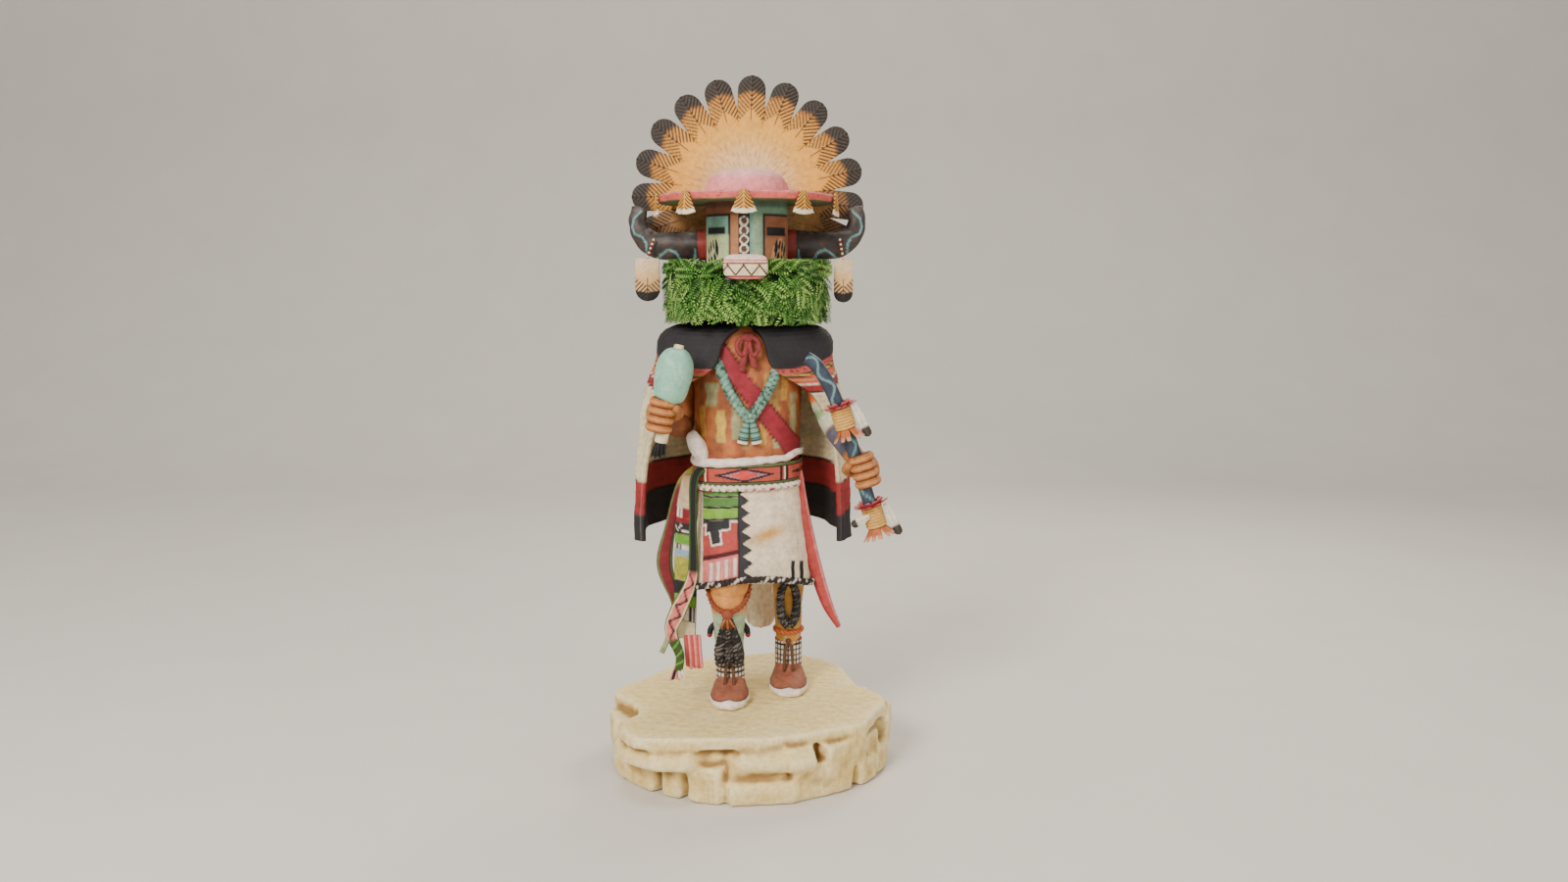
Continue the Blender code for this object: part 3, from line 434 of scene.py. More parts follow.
# The head's sizes in units
BRIM_Z = 251.0
BRIM_THICKNESS = 4.1
DOME_TOP = 268
DOME_RADIUS = 21.1
MASK_RADIUS = 20.3
BRIM_RADIUS = 43.5
HEAD_BACK = 17.2


# Head
def paint_mask(s, z):
    """The case mask: s is the length round from the front in millimetres, z the height in units."""
    colour = lay(fill(s.shape, RUST), TURQUOISE, s > 1.2)
    top = 251.2
    colour = lay(colour, mix_colour(RUST, BLACK, 0.35), box(s, z, -30, -4, 244.6, top))
    colour = lay(colour, mix_colour(TURQUOISE, OLIVE, 0.45), box(s, z, 5, 31, 242.5, top))
    colour = lay(colour, MASK_ORANGE, box(s, z, -7.6, -3.2, 200, 244.5, 0.5) * 0.8)
    colour = lay(colour, PALE_GREEN, box(s, z, 3.4, 8.4, 200, 244.5, 1.2) * 0.4)
    colour = lay(colour, BLACK, box(s, z, -28.6, -7.4, 200, 245.2))
    colour = lay(colour, TURQUOISE, box(s, z, -28.0, -8.6, 232, 244.4))
    colour = lay(colour, PALE_GREEN, box(s, z, -28.0, -8.6, 200, 235.4, 1.2))
    colour = lay(colour, BLACK, box(s, z, 8.6, 29.0, 200, 245.4))
    colour = lay(colour, MASK_PANEL, box(s, z, 9.7, 28.4, 200, 244.2))
    colour = lay(colour, MASK_ORANGE, box(s, z, 9.7, 28.4, 200, 234.6, 1.5) * 0.5)
    for side, edge in ((-1, 0.0), (1, 0.4)):
        colour = lay(colour, BLACK, box(side * s, z, 10.8, 25.5, 235.4 - edge, 239.3 - edge))
    for side, x, ground in ((-1, 19.5, PALE_GREEN), (1, 20.0, ORANGE)):
        h = side * s
        colour = lay(colour, mix_colour(ground, CREAM, 0.4),
                     inside(np.hypot((h - x) / 0.7, z - 224), 0, 9.6, 0.3) * 0.7)
        for low, high, width in (
            ((x - 4.2, 224.5), (x - 3.0, 233.6), 2.4), ((x - 1.6, 228), (x - 0.4, 233.4), 1.5),
            ((x + 0.8, 226.5), (x + 1.6, 232.8), 1.6), ((x + 2.8, 225), (x + 4.2, 231.0), 1.7),
            ((x - 2.6, 222), (x - 1.6, 227.4), 2.2), ((x + 0.6, 221), (x + 0.9, 226), 1.9),
            ((x + 3.0, 220.5), (x + 4.0, 225), 1.8), ((x - 0.8, 219), (x + 0.2, 223.6), 2.4),
        ):
            colour = lay(colour, BLACK, leaf(h, z, low, high, width))
    colour = lay(colour, BLACK, box(s, z, -3.6, 2.0, 200, 246.0))
    for ring in range(4):
        away = np.hypot(s + 0.8, z - (241.9 - 4.45 * ring))
        colour = lay(colour, WHITE, inside(away, 1.55, 2.25, 0.15))
        colour = lay(colour, mix_colour(RUST, BLACK, 0.7), inside(away, -1, 1.3, 0.3))
    # A half-strength black band at the top, just under the brim, is painted shade from the brim.
    return lay(colour, BLACK, box(s, z, -40, 40, 248.6, 252, 1.0) * 0.55)


def mix_colour(first, second, share):
    return tuple(a + (b - a) * share for a, b in zip(first, second))


def make_head():
    levels = [(0, 0, 196, 17.8, 17.8)] + [(0, 0, z, MASK_RADIUS, MASK_RADIUS) for z in (200, 216, 234,
                                                                                        BRIM_Z + 1)]
    points, angle, z = ovals(levels, 160, 420)
    points[..., 1] = np.minimum(points[..., 1], HEAD_BACK * MM)
    s = np.radians(angle) * MASK_RADIUS
    slots = box(np.abs(s), z, 10.8, 25.5, 235.2, 239.2, 0.8)
    grooves = sum(near_line(np.abs(s), z, ((x, 200), (x, 245)), 0.5, 0.4) for x in (2.9, 8.0))
    points = raise_by(points, -0.00055 * slots - 0.00018 * grooves)
    mask = closed(points, brushed(paint_mask(s, z), points, 0.10, 0.007))

    around = 360
    angle = np.radians(turns(around))
    bottom, top = BRIM_Z, BRIM_Z + BRIM_THICKNESS
    profile = ease([(20.0, bottom + 0.3), (31, bottom - 0.1), (42.2, bottom), (43.2, bottom + 0.3),
                    (43.5, bottom + 1.2), (43.5, bottom + 2.9), (43.1, top - 0.3), (42.2, top),
                    (32, top + 0.1), (20.0, top + 0.4)], 64)
    r, z = profile[:, :1], profile[:, 1:]
    x = r * np.sin(angle)
    y = np.minimum(-r * np.cos(angle), HEAD_BACK)
    z = np.broadcast_to(z, x.shape)
    brim = at(x, y, z)
    brim = raise_by(brim, 0.00012 * mottle(brim, 0.007, 3))
    paint_brim = lay(fill(x.shape, PINK), SALMON, inside(z, bottom + 0.2, top - 0.5, 0.5) * (r > 41))
    paint_brim = lay(paint_brim, mix_colour(OLIVE, BLACK, 0.35), inside(z, 0, bottom + 0.5, 0.3))
    paint_brim = lay(paint_brim, CREAM, np.clip(mottle(brim, 0.012, 8) - 0.5, 0, 1) * (z > top - 1) * 0.5)
    speckle = np.clip(mottle(brim, 0.0012, 5) - 0.75, 0, 1) * (r > 41)
    paint_brim = lay(paint_brim, CRIMSON, speckle)

    rise = np.linspace(0, 1, 46)[:, None] * math.pi / 2 * 0.985
    dome_r = DOME_RADIUS * np.cos(rise) ** 0.5
    x = dome_r * np.sin(angle[::2])
    y = np.minimum(-dome_r * np.cos(angle[::2]), HEAD_BACK)
    z = np.broadcast_to(top - 0.4 + (DOME_TOP - top + 0.4) * np.sin(rise), x.shape)
    dome = at(x, y, z)
    # The dome is painted whiter towards its top as a painted highlight, and salmon towards its foot.
    paint_dome = lay(fill(x.shape, PINK), mix_colour(PINK, WHITE, 0.65), step((z - 262) / 6) * 0.8)
    paint_dome = lay(paint_dome, SALMON, step((258 - z) / 3) * 0.6)
    figure_piece("mask", [mask])
    figure_piece("brim_and_dome",
                 [closed(brim, brushed(paint_brim, brim, 0.10, 0.01)),
                  closed(dome, brushed(paint_dome, dome, 0.08, 0.008, 4))])


def make_snout():
    low, high = (np.array(corner) * 1000 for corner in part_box("snout"))
    middle_x, middle_z = (low[0] + high[0]) / 2, (low[2] + high[2]) / 2
    half_w, half_h = (high[0] - low[0]) / 2, (high[2] - low[2]) / 2
    front, back = low[1], high[1]
    rows = ease([(back, 0.94), (front + 6, 0.99), (front + 1.6, 1.0), (front + 0.6, 0.97),
                 (front + 0.1, 0.9), (front + 0.0, 0.80)], 60)
    a = np.linspace(0, math.tau, 260, endpoint=False)
    x = half_w * rows[:, 1:] * powered(np.cos(a), 0.5)
    z = half_h * rows[:, 1:] * powered(np.sin(a), 0.55)
    y = np.broadcast_to(rows[:, :1], x.shape)
    face = np.linspace(0.79, 0.02, 46)
    x = np.concatenate([x, half_w * face[:, None] * powered(np.cos(a), 0.5)])
    z = np.concatenate([z, half_h * face[:, None] * powered(np.sin(a), 0.55)])
    y = np.concatenate([y, np.full((46, len(a)), front)])
    y = y + (half_w**2 - (half_w**2 - x**2)) / half_w**2 * 1.3
    lip = inside(z, 1.0, 1.7, 0.5) * (np.abs(x) < half_w + 1)
    y = y + 0.35 * lip
    colour = fill(x.shape, CREAM)
    colour = lay(colour, mix_colour(PINK, CREAM, 0.3), inside(z, 1.8, 3.4, 0.3))
    colour = lay(colour, mix_colour(WHITE, PINK, 0.35), inside(z, 3.4, 9, 0.3))
    colour = lay(colour, mix_colour(CRIMSON, BLACK, 0.5),
                 inside(z, 1.15, 1.75, 0.2) + inside(z, 2.9, 3.3, 0.2) * 0.6)
    wave = np.abs(((x + 0.9) / 3.75 + 100) % 2 - 1)
    zig = near_zero(wave - np.clip((z + 4.0) / 4.6, 0, 1), 0.14, 0.07) * inside(z, -4.1, 1.1)
    colour = lay(colour, mix_colour(BARK, BLACK, 0.5), zig)
    colour = lay(colour, mix_colour(PINK, SALMON, 0.5), inside(z, -9, -4.2, 0.2))
    colour = lay(colour, mix_colour(CRIMSON, BLACK, 0.35), inside(z, -4.9, -4.2, 0.2))
    points = np.stack([middle_x + x, y, middle_z + z], axis=-1) * MM
    piece("snout_paint", [closed(points, brushed(colour, points, 0.10, 0.004))], WOOD, "snout")


# The pale line on each horn, as distance from the middle and height in units
HORN_LINES = (
    ((52.6, 247.6), (56.4, 244.0), (57.4, 239.8), (56.2, 236.4), (52.2, 234.8), (50.3, 231.7),
     (50.3, 227.6), (51.6, 223.8)),
    ((46.3, 222.6), (42.9, 226.2), (39.2, 228.6), (35.5, 227.2), (33.6, 224.0), (32.6, 221.0)),
    ((25.7, 228.4), (26.2, 224.0), (27.4, 221.4)),
)


def make_horn(side, replaced):
    points = [(side * x, 4, z) for x, z in ((15.5, 231), (26, 230.9), (35.5, 230.5), (45.5, 231),
                                            (52.2, 235.6), (54.8, 241.5), (54.4, 246.4), (53.5, 249.8))]
    path = route(points, 170)
    high = rounded([(7.5,), (7.4,), (7.2,), (6.5,), (5.5,), (4.6,), (4.2,), (4.0,)], 170, 0.05)
    sizes = np.concatenate([high * 0.66, high], axis=1) * UNIT
    around = 110
    grid = tube(path, sizes, around, (0, 1, 0))
    s = along_of(grid) * 1000
    grid = raise_by(grid, -side * 0.00025 * mottle(grid, 0.006, 6))
    x = np.abs(grid[..., 0]) / UNIT
    z = (grid[..., 2] - SOLE_Z) / UNIT
    colour = lay(fill(s.shape, HORN), mix_colour(HORN, BARK, 0.5),
                 np.clip(mottle(grid, 0.004, 7) - 0.2, 0, 1) * 0.6)
    colour = lay(colour, BLACK, step((16 - s) / 10) * 0.6)
    # worn: the paler grey at the tip is wear; the paler line along the top edge near the mask is wear and
    # painted highlight.
    worn = step((s - 44) / 12) * 0.22 + 0.20 * step((z - 235.5) / 1.6) * (s < 40)
    colour = lay(colour, mix_colour(HORN, WHITE, 0.5), worn * (0.6 + 0.4 * mottle(grid, 0.0022, 8)))
    for line in HORN_LINES:
        for ends in zip(line, line[1:]):
            colour = lay(colour, BLUE_LINE, near_line(x, z, ends, 1.05, 0.3))
    colour = lay(colour, paint(130, 45, 40), inside(s, -1, 9.0, 0.3))
    colour = lay(colour, BLACK, inside(s, 8.8, 9.6, 0.3))
    piece(replaced + "_paint", [closed(grid, brushed(colour, grid, 0.15, 0.004))], HORN_PAINT, replaced)


# Feathers
SHAFT_HALF = 0.00030


def feather_grid(root, tip, half_width, face, colours, rows=80, cols=49, thick=0.0008, barbs=0.9,
                 narrow=0.62):
    """A carved feather: closed front and back, a shaft, and barbs cut slantwise; face is its front's way."""
    root, tip, face = (np.asarray(v, float) for v in (root, tip, face))
    along = tip - root
    length = np.linalg.norm(along)
    along = along / length
    face = square_part(face, along)
    across = np.cross(along, face)
    t = np.linspace(0, 1, rows)[:, None]
    w = np.linspace(-1, 1, cols)[None]
    radius = half_width * MM
    start = 1 - radius / length
    edge = np.where(t > start, np.sqrt(np.clip(1 - ((t - start) / (1 - start)) ** 2, 0, 1)), 1.0)
    taper = narrow + (1 - narrow) * step(t / 0.45)
    x = w * radius * edge * taper
    y = np.broadcast_to(t * length, x.shape)
    slant = (y * 1000 - np.abs(x) * 1000) / barbs
    stroke = step(2.2 * (1 - saw(slant)) - 0.6)
    crown = 1 - 0.55 * w**2
    shaft = np.clip(1.4 - np.abs(x) / SHAFT_HALF, 0, 1)
    height = thick * crown - 0.00018 * stroke + 0.00024 * shaft
    place = root + along * y[..., None] + across * x[..., None]
    front = place + face * height[..., None]
    back = place - face * (thick * 0.6 * crown)[..., None]
    colour = colours(t * np.ones_like(w), w * np.ones_like(t), stroke, shaft)
    return closed(np.concatenate([front, back[:, ::-1]], axis=1),
                  np.concatenate([colour, colour[:, ::-1]], axis=1))


def crown_tone(share):
    """The crown's ground by its share of the reach: cream, then gold, then brown orange."""
    tones = ease([paint(216, 196, 158), paint(220, 198, 158), paint(226, 194, 146), paint(228, 184, 124),
                  paint(228, 172, 84), GOLD, paint(222, 158, 66), paint(208, 142, 60)], 256)
    return tones[np.clip((share / 0.85 * 255).astype(int), 0, 255)]


def crown_feather_tone(t, w, stroke, shaft, root_share, under):
    share = root_share + (1 - root_share) * t
    shade = crown_tone(share)
    # under: the feathers that point down, below the brim, are painted brown as painted shade.
    shade = lay(shade, paint(124, 86, 58), under * np.ones_like(t))
    barred = step((share - 0.715 + 0.12 * np.abs(w)) / 0.03)
    shade = lay(shade, paint(46, 28, 20), stroke * barred * 0.95)
    solid = step((share - 0.845 + 0.05 * np.abs(w)) / 0.06)
    shade = lay(shade, paint(22, 19, 20), solid)
    shade = lay(shade, paint(104, 90, 76), solid * (1 - stroke) ** 2 * 0.42)
    return lay(shade, paint(30, 22, 18), shaft * step((share - 0.60) / 0.05) * 0.9)


def make_crown():
    low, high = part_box("feather_crown")
    near, far = low[1], high[1]
    middle = at(0, 0, 256.5)
    pitch, lean = math.radians(18.7), math.radians(2.6)
    reach, root, disc_reach = 59.5, 31.5, 44.0
    half = 6
    grids = []

    cols = 900
    a = np.linspace(0.02 - math.pi, math.pi - 0.02, cols)
    r = np.linspace(0, 1, 70)[:, None]
    floor = -0.36 * reach + 2.0
    out = np.minimum(disc_reach + 0 * a,
                     np.where(np.cos(a) < -0.02, floor / np.minimum(np.cos(a), -0.02), 99))
    radius = r * out
    x, z = radius * np.sin(a), radius * np.cos(a)
    ribs = np.cos((a - lean) / pitch * math.tau * 3.0) * np.clip(radius / 45, 0, 1)
    front_y = near + 0.0002 + 0.0011 * step((radius - 32) / 3.4) - 0.00010 * ribs * (radius > 12)
    disc = np.stack([x * MM, front_y + 0 * x, middle[2] + z * MM], axis=-1)
    back = np.stack([x * MM, 0 * x + far - 0.0004, middle[2] + z * MM], axis=-1)
    share = radius / reach + 0.012 * mottle(disc, 0.004, 12)
    colour = crown_tone(share)
    polar = np.stack([(a + 0 * r) * 0.034, radius * 0.00022, 0 * radius], axis=-1)
    dashes = step((mottle(polar, 0.0011, 13) - 0.55) / 0.5) * step((0.62 - share) / 0.2)
    colour = lay(colour, paint(160, 112, 66), dashes * 0.55)
    # Below the brim the disc is painted brown as painted shade, with darker flecks there.
    colour = lay(colour, paint(128, 88, 58), step((-z - 4.5) / 2) * 0.75)
    colour = lay(colour, paint(90, 60, 40),
                 step((mottle(disc, 0.0010, 14) - 0.6) / 0.4) * step((-z - 4.5) / 2) * 0.5)
    grids.append((np.concatenate([disc, back[:, ::-1]], axis=1),
                  np.concatenate([colour, colour[:, ::-1]], axis=1), True, False))

    for feather in range(-half, half + 1):
        b = lean + pitch * feather
        way = np.array([math.sin(b), 0, math.cos(b)])
        depth = near + 0.0011 + 0.0004 * (feather % 2)
        start = np.array([0, depth, middle[2]]) + way * root * MM
        tip = np.array([0, depth, middle[2]]) + way * reach * MM
        tone = partial(crown_feather_tone, root_share=root / reach, under=0.8 * (math.cos(b) < -0.1))
        grids.append(feather_grid(start, tip, 7.15, (0, -1, 0), tone, 100, 57, 0.0008, 2.35, 0.80))
    piece("crown_feathers", grids, FEATHER, "feather_crown")


def pendant_tone(t, w, stroke, shaft):
    shade = lay(fill(t.shape, paint(216, 192, 152)), paint(212, 158, 92), step((t - 0.15) / 0.35) * 0.7)
    fan = step((t - 0.62 + 0.20 * np.abs(w)) / 0.04)
    shade = lay(shade, paint(44, 28, 20), stroke * fan * 0.95)
    shade = lay(shade, paint(24, 20, 20), step((t - 0.76 + 0.04 * np.abs(w)) / 0.05))
    return lay(shade, paint(44, 28, 20), shaft * step((t - 0.40) / 0.08) * 0.85)


def make_pendant(side, replaced):
    low, high = (np.array(corner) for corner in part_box(replaced))
    width = (high[0] - low[0]) * 1000
    y = (low[1] + high[1]) / 2
    middle_x = (low[0] + high[0]) / 2
    bottom = low[2]
    top = bottom + 0.0212
    grids = [feather_grid((middle_x, y, top), (middle_x, y, bottom), width * 0.49, (0, -1, 0), pendant_tone,
                          90, 49, 0.0011, 2.3, 0.94)]
    start = np.array([side * 0.0462, y - 0.0002, high[2] - 0.0010])
    end = np.array([middle_x, y - 0.0002, top])
    beads = 9
    for k in range(beads):
        spot = start + (end - start) * (k + 0.3) / beads
        grids.append(closed(stud(spot, 0.00066, 7, 10), (CREAM, CRIMSON)[k % 2]))
    string = ease([start, (start + end) / 2, end], 8)
    grids.append(closed(tube(string, (0.0004, 0.0004), 8), BARK))
    piece(replaced + "_paint", grids, FEATHER, replaced)


def make_tassel(number, direction):
    replaced = f"brim_tassel_{number}"
    low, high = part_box(replaced)
    top, bottom = high[2], low[2]
    turn = math.radians(direction)
    way = np.array([math.sin(turn), -math.cos(turn), 0])
    across = np.array([math.cos(turn), math.sin(turn), 0])
    centre = way * (BRIM_RADIUS + 1.5) * MM
    rows, cols = 70, 61
    t = np.linspace(0, 1, rows)[:, None]
    w = np.linspace(-1, 1, cols)[None]
    half = (1.5 + 4.6 * t) * MM
    x = w * half
    frill = 0.10 * np.cos(w * 26) + 0.05 * np.cos(w * 41 + number)
    drop = t * (0.97 - 0.09 * w**2 + 0.22 * frill * step((t - 0.6) / 0.4))
    z = top - drop * (top - bottom)
    barb = saw(t * 5.2 - np.abs(w) * 2.2)
    cut = step(1.7 * (1 - barb) - 0.35) * step((np.abs(w) - 0.05) / 0.1)
    lift = 0.0011 * (1 - 0.8 * w**2) * (0.5 + 0.7 * t) - 0.00022 * cut
    place = centre + across * x[..., None] + np.array([0, 0, 1]) * (z + 0 * w)[..., None]
    front = place + way * lift[..., None]
    back = place - way * 0.0007
    shade = lay(fill((rows, cols), paint(220, 166, 72)), paint(206, 140, 48),
                step(t * 1.6) * np.ones_like(w) * 0.8)
    shade = lay(shade, paint(238, 224, 194), step((t - 0.74) / 0.14) * np.ones_like(w))
    shade = lay(shade, paint(58, 34, 16), cut * (1 - 0.8 * step((t - 0.76) / 0.16)) * 0.95)
    grid = np.concatenate([front, back[:, ::-1]], axis=1)
    piece(replaced + "_paint", [closed(grid, np.concatenate([shade, shade[:, ::-1]], axis=1))], FEATHER,
          replaced)


# Ruff: sprigs of leaflets round the mask's foot
SPRIGS = 640
LEAFLET_LENGTH = 0.0033
GOLDEN_SHARE = 0.618034


def sprig(root, way, out, length, leaflet, dice):
    """A fir twig lying square to out: a thin stem with slender leaflets in pairs; (verts, faces, shades)."""
    way = way / np.linalg.norm(way)
    across = unit(np.cross(way, out))
    face = np.cross(across, way)
    droop = dice.uniform(-0.05, 0.22)
    pairs = 9
    tip = root + way * length * 0.92 - face * length * droop * 0.8
    corners = (across * 0.00042, face * 0.00055, across * -0.00042)
    verts = [root + corner for corner in corners] + [tip]
    faces = [(0, 1, 3), (1, 2, 3), (2, 0, 3), (2, 1, 0)]
    shades = [(0.6, 0.55)] * 4
    rim = ((0, 0), (0.55, 0.19), (1, 0), (0.55, -0.19))
    for k in range(pairs * 2 + 1):
        last = k == pairs * 2
        s = 1.0 if last else (k // 2 + 0.6) / pairs
        side = 0 if last else (1 if k % 2 else -1)
        spot = root + way * length * s * 0.9 - face * length * droop * s * s
        size = leaflet * (0.62 + 0.5 * math.sin(math.pi * min(s * 0.75 + 0.15, 1)))
        reach = unit(way * (0.55 if side else 1.0) + across * side * 0.9 + face * dice.uniform(-0.05, 0.22))
        flat = np.cross(reach, face)
        flat /= np.linalg.norm(flat)
        n = len(verts)
        for a, b in rim:
            verts.append(spot + reach * size * a + flat * size * b)
            shades.append((s, a))
        verts.append(spot + reach * size * 0.5 + face * size * 0.06)
        shades.append((s, 0.75))
        verts.append(spot + reach * size * 0.5 - face * size * 0.10)
        shades.append((s, 0.2))
        for a in range(4):
            b = (a + 1) % 4
            faces.append((n + a, n + b, n + 4))
            faces.append((n + b, n + a, n + 5))
    return verts, faces, shades


def make_ruff():
    low, high = (np.array(corner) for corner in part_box("evergreen_ruff"))
    half_w, half_d = (high[0] - low[0]) / 2, (high[1] - low[1]) / 2
    bottom, top = low[2], high[2]
    dice = np.random.default_rng(21)
    verts, faces, shades = [], [], []
    for k in range(SPRIGS):
        level = dice.uniform(0, 1)
        a = math.tau * (k * GOLDEN_SHARE % 1)
        deep = dice.uniform(0.80, 0.93)
        square = 1 + 0.05 * math.sin(2 * a) ** 2
        centre = np.array([half_w * deep * square * math.sin(a), -half_d * deep * square * math.cos(a),
                           bottom + (top - bottom) * (0.26 + 0.68 * level)])
        out = unit(np.array([math.sin(a) * half_d, -math.cos(a) * half_w, 0]))
        side = np.array([-out[1], out[0], 0])
        fall = dice.uniform(0.15, 1.0) - (0.85 if level > 0.80 else 0.0)
        way = side * dice.normal(0, 0.62) + out * dice.uniform(0.02, 0.40) - np.array([0, 0, fall])
        length = dice.uniform(0.0110, 0.0165)
        v, f, s = sprig(centre, way, out + np.array([0, 0, 0.15]), length, LEAFLET_LENGTH, dice)
        tone = dice.uniform(0, 1)
        base = len(verts)
        verts += v
        faces += [tuple(i + base for i in face) for face in f]
        shades += [(x, y, tone) for x, y in s]
    points = np.array(verts)
    shape = np.array(shades)
    limit = np.hypot(points[:, 0] / half_w, points[:, 1] / half_d)
    squeeze = np.where(limit > 0.92, (0.92 + 0.12 * np.tanh((limit - 0.92) / 0.12)) / limit, 1.0)
    points[:, 0] *= squeeze
    points[:, 1] *= squeeze
    level = (points[:, 2] * 2 - top - bottom) / (top - bottom)
    soft = np.sign(level) * (0.88 + 0.22 * np.tanh((np.abs(level) - 0.88) / 0.22))
    level = np.where(np.abs(level) > 0.88, soft, level)
    points[:, 2] = (level * (top - bottom) + top + bottom) / 2
    light = np.clip(-0.02 + 0.56 * shape[:, 1] + 0.60 * (shape[:, 2] - 0.5)
                    + 0.35 * shape[:, 0] * shape[:, 1], 0, 1)
    colours = fill(light.shape, paint(18, 54, 12))
    colours = lay(colours, paint(86, 150, 46), step(light * 1.5))
    colours = lay(colours, paint(188, 220, 118), step((light - 0.55) / 0.35) * 0.85)
    mesh = bpy.data.meshes.new("ruff_sprigs")
    mesh.from_pydata(points.tolist(), [], faces)
    finish_piece("ruff_sprigs", mesh, colours, LEAF, "evergreen_ruff")
    # A very dark green core under the sprigs is painted shade, standing for the depth between them.
    core = ovals([(0, 0, (bottom - SOLE_Z) / UNIT + 1, 28, 24), (0, 0, 200, 35.5, 29),
                  (0, 0, 215, 34.5, 28), (0, 0, 221, 24, 21)], 24, 72)[0]
    piece("ruff_core", [closed(core, paint(16, 44, 12))], LEAF, "evergreen_ruff")


# Torso, necklace and throat
def across_strap(x, z):
    """Distance across the strap that slants down over the chest, from its middle, in units."""
    return (x + 7.7) * 0.80 + (z - 171.5) * 0.60


def paint_torso(x, z, points, angle):
    streak = mottle(points * [1, 1, 0.25], 0.007, 31)
    colour = lay(fill(x.shape, paint(146, 80, 46)), paint(178, 106, 58), step(streak * 0.8 + 0.35) * 0.7)
    ragged = 0.5 * mottle(points * [1, 1, 0.4], 0.003, 33)
    for x0, x1, z0, z1, tone in (
        (-14.7, -10.2, 134, 150, YELLOW), (-20.2, -13.9, 152, 163, GREY_GREEN),
        (-7.3, -3.1, 136, 151, GREY_GREEN),
        (8.6, 12.2, 153, 168, OCHRE), (13.2, 16.4, 150, 167, mix_colour(OLIVE, OCHRE, 0.5)),
        (17.0, 20.0, 155, 170, OCHRE),
        (13.0, 16.4, 131, 138, GREY_GREEN), (-23.5, -20.6, 136, 152, OCHRE), (6.4, 9.6, 133, 146, OCHRE),
        (-1.0, 2.2, 131, 142, mix_colour(OCHRE, GREY_GREEN, 0.5)), (21.5, 24.5, 138, 158, GREY_GREEN),
    ):
        colour = lay(colour, tone, box(x + ragged, z, x0, x1, z0, z1, 0.7) * 0.8)
    strap = across_strap(x, z)
    on_front = np.abs(angle) < 100
    colour = lay(colour, mix_colour(BLACK, CRIMSON, 0.3), inside(strap, -4.8, 5.0, 0.3) * on_front)
    colour = lay(colour, paint(142, 32, 46), inside(strap, -4.0, 4.2, 0.3) * on_front)
    return lay(colour, CRIMSON, inside(strap, -1.2, 1.2, 2.0) * on_front * 0.4)


def make_torso():
    levels = [(0, 0, 108, 26.2, 20.5), (0, 0, 122, 25.4, 20.3), (0, 0, 140, 26.6, 20.8),
              (0, 0, 160, 27.2, 20.8), (0, 0, 178, 28.0, 20.0), (0, 0, 186, 27.0, 19.4),
              (0, 0, 191, 22.0, 16.5)]
    points, angle, z = ovals(levels, 190, 300, 2.4)
    x = points[..., 0] / UNIT
    strap = across_strap(x, z)
    belly = 0.5 * np.exp(-((x / 12) ** 2 + ((z - 140) / 14) ** 2))
    lift = 0.0007 * inside(strap, -4.4, 4.6, 0.8) * (np.abs(angle) < 100) + 0.001 * belly
    lift = lift + 0.00015 * mottle(points, 0.006, 9)
    points = raise_by(points, lift)
    figure_piece("torso",
                 [closed(points, brushed(paint_torso(x, z, points, angle), points, 0.13, 0.006, 5))])


def rope(path, radius, strands=2, pitch=0.006, around=8, thick=0.62, wide=(1, 0, 0)):
    """Strands wound round a path, each as one grid of points; radius is one number or one a point."""
    path = np.asarray(path, float)
    radius = np.broadcast_to(np.asarray(radius, float), (len(path),))
    across, deep = frames_along(path, wide)
    run = run_of(path)
    size = np.stack([radius, radius], axis=1) * thick
    offset = radius * (1 - thick) * 1.25
    made = []
    for k in range(strands):
        turn = run / pitch * math.tau + k * math.tau / strands
        line = path + across * (np.cos(turn) * offset)[:, None] + deep * (np.sin(turn) * offset)[:, None]
        made.append(tube(line, size, around, wide))
    return made


